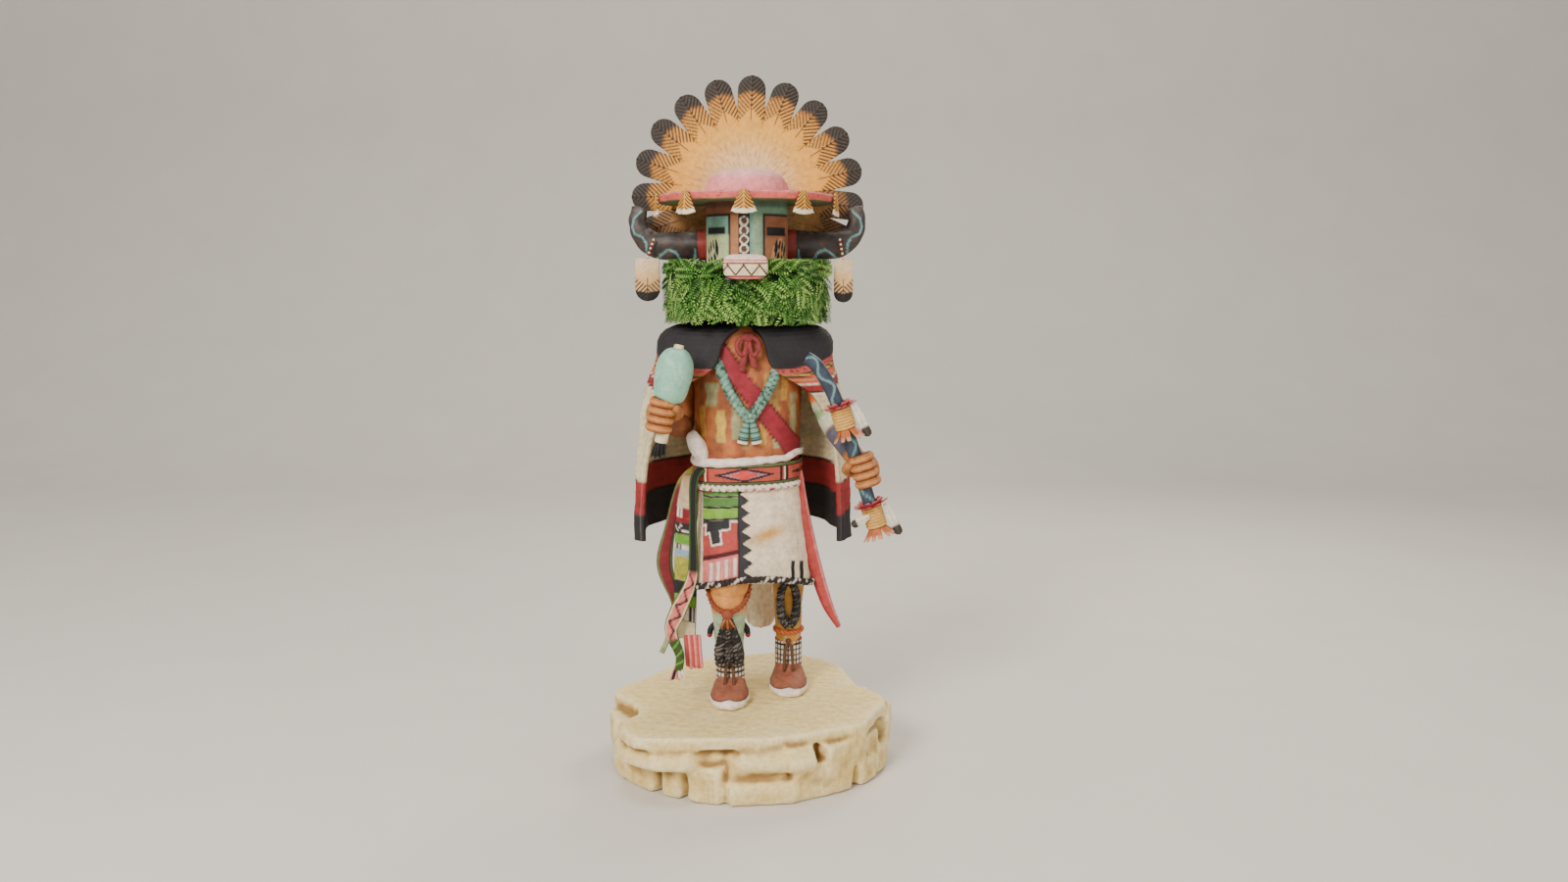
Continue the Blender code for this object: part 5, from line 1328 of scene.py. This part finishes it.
def hand_grids(centre, axis, side):
    """Palm, four fingers and a thumb closed on a bar, with dark lines between the finger joints."""
    across = square_part(np.array([side, 0, 0.0]), axis)
    out = square_part(np.array([0, -1, 0.0]), axis)
    palm = stud((0, 0, 0), (5.6 * MM, 5.6 * MM, 8.0 * MM), 40, 48)
    palm = palm @ np.stack([across, -out, axis])
    palm = palm + centre + (across * 4.2 - out * 2.4) * UNIT
    grids = [plain(palm, HAND, 0.14, 0.004, 103)]
    reach = STAFF_RADIUS + 0.55 * FINGER_RADIUS
    for finger in range(4):
        lift = axis * FINGER_RADIUS * 1.86 * (1.5 - finger)
        bend = np.radians(np.linspace(-20, 200, 60))[:, None]
        line = (centre + lift + across * (np.cos(bend) * reach + 0.0022)
                + out * (np.sin(bend) * reach + 0.0006))
        size = rounded([(1, 1), (1.04, 1.04), (0.98, 0.98), (1.04, 1.04), (0.86, 0.86)], 60,
                       0.10) * FINGER_RADIUS
        grid = tube(line, size, 28, axis)
        share = np.broadcast_to(np.linspace(0, 1, 60)[:, None], grid.shape[:2])
        tone = brushed(fill(share.shape, mix_colour(HAND, ORANGE, 0.3)), grid, 0.14, 0.003, 104 + finger)
        tone = lay(tone, mix_colour(BARK, BLACK, 0.3),
                   sum(inside(share, k - 0.01, k + 0.01, 0.03) for k in (0.3, 0.62, 0.84)) * 0.35)
        # Painted shade on each finger's sides that face its neighbours, and painted highlights on its faces
        # between them and near its tip.
        turn = np.abs(np.cos(np.linspace(0, math.tau, 28, endpoint=False)))[None]
        tone = lay(tone, mix_colour(BARK, BLACK, 0.6), step((turn - 0.70) / 0.25) * 0.85 + 0 * share)
        tone = lay(tone, paint(224, 172, 112), step((0.45 - turn) / 0.4) * 0.35 + 0 * share)
        tone = lay(tone, paint(226, 176, 120), inside(share, 0.9, 0.98, 0.04) * 0.6)
        grids.append(closed(grid, tone))
    thumb = ease([centre - across * 0.0032 - out * 0.0042 - axis * 0.0010,
                  centre - across * 0.0060 - out * 0.0005 + axis * 0.0024,
                  centre - across * 0.0034 + out * 0.0044 + axis * 0.0054], 40)
    grid = tube(thumb, rounded([(1, 1), (1.05, 1.05), (0.9, 0.9)], 40, 0.12) * 2.3 * MM, 28, axis)
    grids.append(plain(grid, HAND, 0.14, 0.003, 109))
    return grids


def right_arm_tone(share):
    # The arm is painted darker brown from the middle of the upper arm to the hand, as painted shade.
    return lay(fill(share.shape, SKIN), paint(118, 68, 38), step((share - 0.3) * 3))


def left_arm_tone(share):
    colour = fill(share.shape, paint(200, 96, 40))
    colour = lay(colour, mix_colour(GREY_GREEN, WHITE, 0.45), inside(share, 0.42, 0.66, 0.02))
    colour = lay(colour, paint(132, 160, 112), inside(share, 0.48, 0.54, 0.02))
    colour = lay(colour, paint(84, 84, 98), inside(share, 0.66, 0.88, 0.02))
    return lay(colour, HAND, inside(share, 0.88, 2, 0.02))


def make_arms():
    figure_piece("arm_right",
                 [arm([(-31, 3, 181), (-34, 2, 160), (-33.5, -3, 141), (-36, -18, 146),
                       (-40.5, -30, 150.5)], [7.5, 7.6, 6.4, 5.2, 4.6], right_arm_tone)])
    figure_piece("arm_left",
                 [arm([(29, 3, 181), (37, -3, 160), (42.5, -9, 143.5), (49, -20, 133), (56.5, -28.5, 124)],
                      [7.5, 7.6, 6.4, 5.2, 4.8], left_arm_tone)])
    grip = HANDLE_FOOT + HANDLE * RIGHT_GRIP
    figure_piece("hand_right", hand_grids(grip, HANDLE_AXIS, -1))
    figure_piece("hand_left", hand_grids(STAFF_GRIP, STAFF_AXIS, 1))


# Hanging sashes
def ribbon_grid(points, half_widths, half_depth, painter, rows=240, cols=48, wide=(1, 0, 0)):
    """A flat band along a route, its half width eased between the given ones."""
    path = route(points, rows)
    size = np.concatenate([ease([(w,) for w in half_widths], rows), np.full((rows, 1), half_depth)],
                          axis=1) * UNIT
    grid = tube(path, size, cols, wide, 3.2)
    a = np.linspace(0, math.tau, cols, endpoint=False)
    w = np.broadcast_to(powered(np.cos(a), 2 / 3.2), (rows, cols))
    s = along_of(grid) * 1000
    return closed(grid, brushed(painter(s, w), grid, 0.10, 0.004, 111))


def belt_end_tone(s, w):
    colour = lay(fill(s.shape, BLACK), mix_colour(GREEN, BLACK, 0.78), inside(np.abs(w), 0.60, 2, 0.1))
    face = inside(s, 58, 95, 4)
    colour = lay(colour, paint(212, 118, 108), face)
    zig = saw(s / 9.0) - 0.5
    colour = lay(colour, paint(52, 26, 30), near_zero(w - zig, 0.20, 0.06) * face)
    colour = lay(colour, CREAM, inside(np.abs(w), 0.68, 0.86, 0.05) * face)
    colour = lay(colour, mix_colour(GREEN, BLACK, 0.65), inside(np.abs(w), 0.86, 2, 0.05) * face)
    colour = lay(colour, mix_colour(BLACK, GREEN, 0.18), inside(s, 95, 999, 2))
    return lay(colour, GREEN, (s > 96) * (np.sin(s * 1.3 + w * 2) > 0.7) * 0.6)


def leaf_end_tone(s, w):
    colour = lay(fill(s.shape, paint(122, 36, 42)), OLIVE, inside(np.abs(w), 0.66, 2, 0.08))
    colour = lay(colour, BLACK, inside(np.abs(w), 0.58, 0.68, 0.05))
    colour = lay(colour, mix_colour(OLIVE, YELLOW, 0.4), step((18 - s) / 6))
    return lay(colour, mix_colour(PALE_GREEN, OLIVE, 0.4), step((s - 84) / 4))


def red_sash_tone(s, w):
    colour = lay(fill(s.shape, mix_colour(RED, SALMON, 0.35)), PINK, inside(w, 0.62, 2, 0.1) * 0.7)
    return lay(colour, CRIMSON, inside(w, -2, -0.5, 0.15) * 0.6)


def paint_hip_panel(z, w):
    """The hip panel's bands, sloping down to its left; w runs across it from -1 to 1."""
    level = z + 1.2 * w
    bars = saw(w * 3.2)
    dark = mix_colour(BLACK, CHARCOAL, 0.5)
    colour = lay(fill(z.shape, paint(204, 180, 146)), paint(208, 150, 90),
                 step((mottle_flat(z, w) - 0.2) / 0.6) * 0.5)
    for high, low, tone in (
        (99.0, 94.0, WORN_WHITE), (94.0, 91.4, CRIMSON), (91.4, 85.4, dark), (85.4, 80.4, GREEN),
        (80.4, 77.6, dark),
        (77.6, 74.0, PALE_BLUE), (74.0, 61.6, mix_colour(YELLOW, GREEN, 0.3)), (61.6, 54.4, dark),
        (54.4, 49.0, GREEN), (49.0, 41.0, dark), (41.0, 20, CREAM),
    ):
        colour = lay(colour, tone, inside(level, low, high, 0.3))
    colour = lay(colour, CRIMSON, inside(level, 94.0, 99.0, 0.3) * (bars > 0.5))
    fold = saw(w * 2.0) * 2
    colour = lay(colour, WORN_WHITE,
                 inside(level - 86.8 - fold * 1.6, -0.4, 0.5, 0.2) * inside(level, 85.6, 91.2, 0.2))
    colour = lay(colour, WORN_WHITE, inside(level, 77.8, 80.2, 0.3) * (bars > 0.6))
    colour = lay(colour, mix_colour(GREEN, BLACK, 0.3),
                 inside(level, 61.6, 74.0, 0.3) * (np.sin(w * 21 + z) > 0.4) * 0.6)
    colour = lay(colour, WORN_WHITE, inside(level, 41.4, 48.8, 0.3) * (bars > 0.66) * 0.9)
    return lay(colour, BLACK, inside(np.abs(w), 0.93, 2, 0.05) * 0.7)


def mottle_flat(z, w):
    return mottle(np.stack([w * 5.0, 0 * z, z], axis=-1), 9.0, 115)


def make_sashes():
    figure_piece("belt_end_front",
                 [ribbon_grid([(-19.0, -14, 120), (-26.0, -17.5, 116), (-27.0, -18.5, 92),
                               (-27.6, -18.5, 66), (-35.0, -18, 48), (-38.6, -18, 37.5), (-34.4, -18, 25),
                               (-35.2, -18, 17)], (2.4, 2.2, 1.9, 2.8, 4.2, 3.2, 2.3, 2.2), 1.4,
                               belt_end_tone)], FINE_CLOTH)
    figure_piece("belt_end_back",
                 [ribbon_grid([(-23.0, -2, 120), (-33.5, -2, 111), (-39.8, -2, 88), (-43.0, -2, 68),
                               (-37.5, -4, 48), (-40.0, -6, 34), (-44.6, -8, 23)],
                               (2.4, 2.4, 2.9, 4.2, 2.2, 1.5, 1.4), 1.4, leaf_end_tone)], FINE_CLOTH)
    figure_piece("red_sash_end",
                 [ribbon_grid([(25.6, -7, 118), (29.0, -9, 95), (34.2, -8, 70), (40.2, -7, 50),
                               (46.6, -7, 37)], (2.2, 2.8, 3.3, 2.9, 1.3), 2.7, red_sash_tone)], FINE_CLOTH)

    rows, cols = 330, 80
    keys = ease([(-29, 116, 3.6, -9), (-30.8, 100, 5.2, -9), (-31.4, 80, 5.5, -9.2), (-31.8, 60, 5.8, -9.5),
                 (-32, 42, 5.6, -10.5), (-31.8, 32, 5.0, -11)], rows)
    a = np.linspace(0, math.tau, cols, endpoint=False)
    w = powered(np.cos(a), 0.5)[None] + 0 * keys[:, :1]
    x = keys[:, :1] + keys[:, 2:3] * w
    y = keys[:, 3:4] + 1.5 * powered(np.sin(a), 0.5)
    z = keys[:, 1:2] + 0 * w
    points = at(x, y, z)
    figure_piece("hip_panel", [closed(points, brushed(paint_hip_panel(z, w), points, 0.1, 0.005, 112))],
                 FINE_CLOTH)

    fringe = []
    dice = random.Random(4)
    for k in range(15):
        x = -39.6 + 8.0 * k / 14
        tone = (PINK, WORN_WHITE, BLACK, SALMON, WORN_WHITE)[k % 5]
        line = [(-35.2 + dice.uniform(-1.2, 1.2), -18 + dice.uniform(-0.8, 0.8), 21),
                (x * 0.5 - 17.6, -18 + dice.uniform(-0.8, 0.8), 17),
                (x, -18 + dice.uniform(-0.9, 0.9), 12.4 + dice.uniform(-0.8, 1))]
        fringe.append(closed(cord(line, [(0.6, 0.6), (0.75, 0.75), (0.65, 0.65)], 20, 0.1, 7), tone))
    for k in range(9):
        x = -31.6 + 7.4 * k / 8
        tone = (SALMON, mix_colour(SALMON, RED, 0.5), PINK)[k % 3]
        line = [(x - 0.6, -12.0, 34), (x + dice.uniform(-0.3, 0.3), -13.0, 26),
                (x + 0.6, -12.4, 16.0 + dice.uniform(-0.8, 1.2))]
        fringe.append(closed(cord(line, [(0.8, 0.9), (0.95, 1.0), (0.85, 0.9)], 24, 0.08, 9), tone))
    figure_piece("fringes", fringe)

    fox = cord([(0, 17, 116), (1, 22.5, 90), (3.6, 25.0, 62), (5.4, 25, 44), (5.6, 24.6, 34),
                (5.4, 24, 27)], [(4.0, 3.2), (4.4, 3.4), (6.0, 3.5), (8.2, 3.6), (8.4, 3.6), (4.6, 3.0)],
                160, 0.07, 90)
    fur = mottle(fox * [1.0, 1.0, 0.16], 0.0014, 114)
    fox = raise_by(fox, 0.00028 * fur)
    tone = lay(fill(fox.shape[:2], paint(238, 224, 202)), paint(170, 132, 96),
               np.clip(fur - 0.3, 0, 1) * 0.5)
    figure_piece("fox_skin", [closed(fox, tone)])


# Rattle and staff
def lathe(start, axis, profile, rows, around):
    profile = ease(profile, rows)
    axis = unit(axis)
    across, deep = square_to(axis)
    a = np.linspace(0, math.tau, around, endpoint=False)
    ring = across * np.cos(a)[:, None] + deep * np.sin(a)[:, None]
    return start + axis * profile[:, 0][:, None, None] + ring[None] * profile[:, 1][:, None, None]


def make_rattle():
    foot, axis, reach = HANDLE_FOOT, HANDLE_AXIS, HANDLE_LENGTH
    start = foot + HANDLE * GOURD_START
    profile = [(0, 0.10), (0.005, 0.42), (0.05, 0.66), (0.14, 0.83), (0.32, 0.96), (0.60, 1.0),
               (0.80, 0.90), (0.93, 0.66), (0.99, 0.36), (1.0, 0.12)]
    gourd = lathe(start, axis, [(s * 0.0268, r * 0.0090) for s, r in profile], 100, 110)
    gourd = raise_by(gourd, -0.00012 * mottle(gourd, 0.008, 121))
    tone = lay(fill(gourd.shape[:2], GOURD), paint(176, 214, 190),
               np.clip(mottle(gourd, 0.006, 122), 0, 1) * 0.35)
    tone = lay(tone, paint(92, 150, 128),
               np.clip(mottle(gourd * [1, 1, 0.5], 0.0022, 123) - 0.4, 0, 1) * 0.3)
    stick = lathe(foot, axis,
                  [(0, 0.0026), (0.0006, 0.0032), (reach * 0.3, 0.0031), (reach * 0.8, 0.0026),
                   (reach * 0.985, 0.0024), (reach, 0.0016)], 60, 40)
    grain = brushed(fill(stick.shape[:2], CREAM), stick * [1, 1, 0.3], 0.14, 0.002, 124)
    piece("rattle_gourd", [closed(gourd, tone)], GOURD_PAINT, "rattle")
    piece("rattle_stick", [closed(stick, grain)], WOOD, "rattle")
    hair = []
    dice = random.Random(8)
    for k in range(34):
        a = math.tau * k / 34 * 3.0
        r = 0.0022 * math.sqrt((k + 0.5) / 34)
        way = np.array([math.cos(a), math.sin(a), 0])
        line = ease([foot + axis * 0.001 + way * r * 0.8, foot - axis * 0.0035 + way * r * 1.4,
                     foot - axis * dice.uniform(0.0062, 0.0088) + way * r * 1.7], 14)
        hair.append(closed(tube(line, rounded([(0.55, 0.55), (0.5, 0.5), (0.3, 0.3)], 14, 0.1) * MM, 6),
                           BLACK))
    piece("rattle_hair", hair, WOOD, "rattle")


def petals(middle, axis, count, start, reach, spread, width, tone, edge, dice):
    """A ring of leaf-shaped petals flaring from a binding."""
    grids = []
    across, deep = square_to(axis)
    sign = 1 if reach > 0 else -1
    for k in range(count):
        a = math.tau * k / count + dice.uniform(-0.1, 0.1)
        out = across * math.cos(a) + deep * math.sin(a)
        side = np.cross(axis, out)
        t = np.linspace(0, 1, 16)
        flare = 0.0036 + spread * t**1.3 * dice.uniform(0.85, 1.1)
        rise = start + sign * abs(reach) * t * dice.uniform(0.88, 1.05)
        line = middle + axis * rise[:, None] + out * flare[:, None]
        half = width * np.sin(math.pi * (0.22 + 0.66 * t)) ** 0.45
        b = np.linspace(0, math.tau, 12, endpoint=False)
        grid = (line[:, None] + side * (half[:, None] * np.cos(b))[..., None]
                + out * (0.00045 * np.sin(b) + 0 * half[:, None])[..., None])
        share = np.broadcast_to(t[:, None], grid.shape[:2])
        colour = lay(fill(share.shape, tone), edge, step((share - 0.55) / 0.3) * 0.8)
        colour = lay(colour, mix_colour(tone, BLACK, 0.7),
                     (np.abs(np.cos(b))[None] > 0.92) * 0.6 + 0 * share)
        grids.append(closed(grid, colour))
    return grids


def quill_tone(t, _across, cut, shaft):
    shade = lay(fill(t.shape, WHITE), BLACK, step((t - 0.66) / 0.08))
    return lay(shade, paint(120, 100, 84), np.maximum(cut * 0.25, shaft * 0.4))


def make_staff():
    path = route(STAFF_POINTS, 200)
    size = rounded([(1, 1), (1, 1), (1, 1), (1, 1)], 200, 0.012) * STAFF_RADIUS
    staff = tube(path, size, 56, (0, 1, 0))
    s = along_of(staff) * 1000
    a = np.linspace(0, math.tau, 56, endpoint=False)
    colour = lay(fill(s.shape, SLATE), mix_colour(SLATE, BLACK, 0.5),
                 np.clip(mottle(staff, 0.004, 131), 0, 1) * 0.6)
    wave = np.sin(a)[None] - 0.62 * np.sin(s * 0.42)
    colour = lay(colour, BLUE_LINE, near_zero(wave, 0.20, 0.08))
    piece("staff", [closed(staff, brushed(colour, staff, 0.12, 0.004, 132))], HORN_PAINT, "crook_staff")
    dice = random.Random(12)
    grids = []
    across, deep = square_to(STAFF_AXIS)
    ring = np.linspace(0, math.tau, 49)
    for middle in (UPPER_BUNDLE, LOWER_BUNDLE):
        for count, start, reach, spread, width, tone, edge in (
            (13, 0.0046, 0.0022, 0.0050, 0.0017, paint(164, 56, 62), paint(206, 106, 108)),
            (10, 0.0050, 0.0034, 0.0024, 0.0016, paint(176, 66, 70), paint(212, 120, 118)),
            (12, -0.0046, -0.0058, 0.0046, 0.0014, paint(176, 98, 52), paint(214, 150, 118)),
        ):
            grids += petals(middle, STAFF_AXIS, count, start, reach, spread, width, tone, edge, dice)
        for turn in range(7):
            level = middle + STAFF_AXIS * (0.0044 - 0.00145 * turn)
            loop = level + (across * np.cos(ring)[:, None] + deep * np.sin(ring)[:, None]) * 0.0045
            grids.append(closed(tube(loop, (0.00078, 0.00078), 10, STAFF_AXIS), paint(206, 160, 84)))
    piece("staff_bundles", grids, WOOD, "crook_staff")

    feathers = []
    for middle, root, tip, half_width in (
        (UPPER_BUNDLE, [0.0050, -0.0030, 0.0070], [0.0124, -0.0034, -0.0082], 2.1),
        (LOWER_BUNDLE, [0.0050, -0.0030, 0.0070], [0.0124, -0.0034, -0.0082], 2.1),
        (LOWER_BUNDLE, [-0.0026, -0.0048, 0.0010], [-0.0114, -0.0058, -0.0034], 2.0),
    ):
        feathers.append(feather_grid(middle + root, middle + tip, half_width, (0, -1, 0), quill_tone, 50,
                                     25, 0.0007, 0.8))
    piece("staff_feathers", feathers, FEATHER, "crook_staff")


# Base
BASE_VOXEL = 0.00118
ROCK_TOP = 0.0185
WORN_ROUNDS = 7
BLUR_ROUNDS = 12


def vertex_values(mesh, name):
    values = np.empty(len(mesh.vertices) * 3)
    mesh.vertices.foreach_get(name, values)
    return values.reshape(-1, 3)


def neighbours_mean(values, edges, count):
    total = np.zeros_like(values)
    for i in (0, 1):
        for axis in range(values.shape[1]):
            total[:, axis] += np.bincount(edges[:, i], weights=values[edges[:, 1 - i], axis],
                                          minlength=len(values))
    return total / count[:, None]


def make_base():
    """The base's own solid under one fine skin, with worn edges, cut marks and a darker ochre brown in its
    hollows as painted shade.
    """
    solid = bpy.data.objects["base"]
    holder = bpy.data.objects.new("base_rough", solid.data.copy())
    holder.matrix_world = solid.matrix_world
    bpy.context.scene.collection.objects.link(holder)
    remesh = holder.modifiers.new("one skin", "REMESH")
    remesh.mode = "VOXEL"
    remesh.voxel_size = BASE_VOXEL
    soften = holder.modifiers.new("soften", "SMOOTH")
    soften.factor, soften.iterations = 0.5, 1
    bpy.context.view_layer.update()
    mesh = bpy.data.meshes.new_from_object(holder.evaluated_get(bpy.context.evaluated_depsgraph_get()))
    bpy.data.objects.remove(holder)
    mesh.materials.clear()
    mesh.name = "base_carving"
    points, normal = vertex_values(mesh, "co"), vertex_values(mesh, "normal")
    edges = np.empty(len(mesh.edges) * 2, int)
    mesh.edges.foreach_get("vertices", edges)
    edges = edges.reshape(-1, 2)
    degree = np.bincount(edges.ravel(), minlength=len(points))
    worn = step((ROCK_TOP - points[:, 2]) / 0.0025)[:, None]
    for _ in range(WORN_ROUNDS):
        points = points + (neighbours_mean(points, edges, degree) - points) * worn
    side = 1 - np.abs(normal[:, 2])
    relief = 0.00030 * mottle(points, 0.009, 141) * side + 0.00008 * mottle(points, 0.004, 142)
    relief[points[:, 2] < 0.0012] = 0
    points = points + normal * relief[:, None]
    blurred = points.copy()
    for _ in range(BLUR_ROUNDS):
        blurred = neighbours_mean(blurred, edges, degree)
    hollow = np.einsum("ij,ij->i", blurred - points, normal) / 0.0008
    points[:, 2] = np.clip(points[:, 2], 0.0, BASE_TOP)
    mesh.vertices.foreach_set("co", points.ravel())
    # The sides are painted a little darker than the tops as painted shade.
    wood = lay(fill(hollow.shape, paint(234, 210, 142)), paint(220, 192, 120), side)
    wood = lay(wood, paint(236, 220, 172), np.clip(mottle(points, 0.03, 143), 0, 1) * 0.4)
    grain = mottle(points * [1, 1, 0.12], 0.0014, 144)
    wood = lay(wood, paint(176, 140, 78), np.clip(grain - 0.3, 0, 1) * 0.35 * side)
    rings = mottle(points * [0.25, 1, 1], 0.004, 145)
    wood = lay(wood, paint(206, 178, 112), np.clip(rings - 0.3, 0, 1) * 0.2 * (1 - side))
    # The hollows are painted a darker ochre brown as painted shade, and the ridges paler.
    wood = lay(wood, paint(140, 102, 50), np.clip(hollow * 1.5, 0, 1) * 0.9)
    wood = lay(wood, paint(244, 230, 188), np.clip(-hollow, 0, 1) * 0.5)
    finish_piece("base_carving", mesh, wood, BASE_WOOD, "base")


# Stage, light and camera
FOCAL_PIXELS, PICTURE_PIXELS, SENSOR_MM = 1240, 1600, 36
CAMERA_PLACE = (0.0185, -0.6143, 0.2486)
CAMERA_DOWN = 7.8


def make_stage():
    """A plain pale floor that curves up into the wall behind."""
    near, far, bend, top, half = -1.6, 1.30, 0.5, 3.2, 4.0
    profile = [(near, 0.0)]
    for k in range(25):
        a = math.pi / 2 * k / 24
        profile.append((far - bend + bend * math.sin(a), bend - bend * math.cos(a)))
    profile.append((far, top))
    verts = [(x, y, z) for y, z in profile for x in (-half, half)]
    faces = [(2 * i, 2 * i + 1, 2 * i + 3, 2 * i + 2) for i in range(len(profile) - 1)]
    mesh = bpy.data.meshes.new("floor")
    mesh.from_pydata(verts, [], faces)
    mesh.shade_smooth()
    floor = bpy.data.objects.new("floor", mesh)
    bpy.context.scene.collection.objects.link(floor)
    material = bpy.data.materials.new("pale_floor")
    material.use_nodes = True
    tree = material.node_tree
    shader = tree.nodes["Principled BSDF"]
    place = node(tree, "ShaderNodeTexCoord")
    cloud = node(tree, "ShaderNodeTexNoise", Scale=14.0, Detail=6.0)
    tree.links.new(place.outputs["Object"], cloud.inputs["Vector"])
    ramp = node(tree, "ShaderNodeValToRGB")
    ramp.color_ramp.elements[0].color = (0.60, 0.575, 0.535, 1)
    ramp.color_ramp.elements[1].color = (0.66, 0.635, 0.595, 1)
    tree.links.new(cloud.outputs["Fac"], ramp.inputs["Fac"])
    tree.links.new(ramp.outputs["Color"], shader.inputs["Base Color"])
    shader.inputs["Roughness"].default_value = 0.75
    mesh.materials.append(material)


def add_light(name, spot, target, size, power, colour):
    data = bpy.data.lights.new(name, "AREA")
    data.shape = "DISK"
    data.size, data.energy, data.color = size, power, colour
    lamp = bpy.data.objects.new(name, data)
    lamp.location = spot
    lamp.rotation_euler = (Vector(target) - Vector(spot)).to_track_quat("-Z", "Y").to_euler()
    bpy.context.scene.collection.objects.link(lamp)


def make_camera_and_lights():
    data = bpy.data.cameras.new("camera")
    data.lens = FOCAL_PIXELS / PICTURE_PIXELS * SENSOR_MM
    camera = bpy.data.objects.new("camera", data)
    camera.location = CAMERA_PLACE
    camera.rotation_euler = (math.radians(90 - CAMERA_DOWN), 0, 0)
    bpy.context.scene.collection.objects.link(camera)
    bpy.context.scene.camera = camera
    middle = (0, 0, 0.19)
    add_light("key", (-0.45, -0.80, 0.70), middle, 0.40, 13, (1.0, 0.94, 0.86))
    add_light("fill", (0.75, -0.75, 0.30), middle, 0.60, 4, (1.0, 0.93, 0.84))
    add_light("rim", (0.35, 0.55, 0.60), middle, 0.30, 3, (1.0, 0.90, 0.76))
    add_light("room", (0.0, 0.25, 2.2), (0, 0.35, 0), 1.6, 20, (1.0, 0.96, 0.90))
    world = bpy.data.worlds.new("room")
    world.use_nodes = True
    world.node_tree.nodes["Background"].inputs["Color"].default_value = (0.50, 0.48, 0.44, 1)
    bpy.context.scene.world = world


make_camera_and_lights()
make_stage()
make_base()
make_head()
make_snout()
make_horn(-1, "horn_right")
make_horn(1, "horn_left")
make_crown()
make_pendant(-1, "pendant_feather_right")
make_pendant(1, "pendant_feather_left")
for tassel_number, tassel_turn in enumerate((-78, -38, 0, 38, 78), 1):
    make_tassel(tassel_number, tassel_turn)
make_ruff()
make_torso()
make_jewellery()
make_kilt()
make_belts()
make_cape()
make_legs()
make_arms()
make_sashes()
make_rattle()
make_staff()
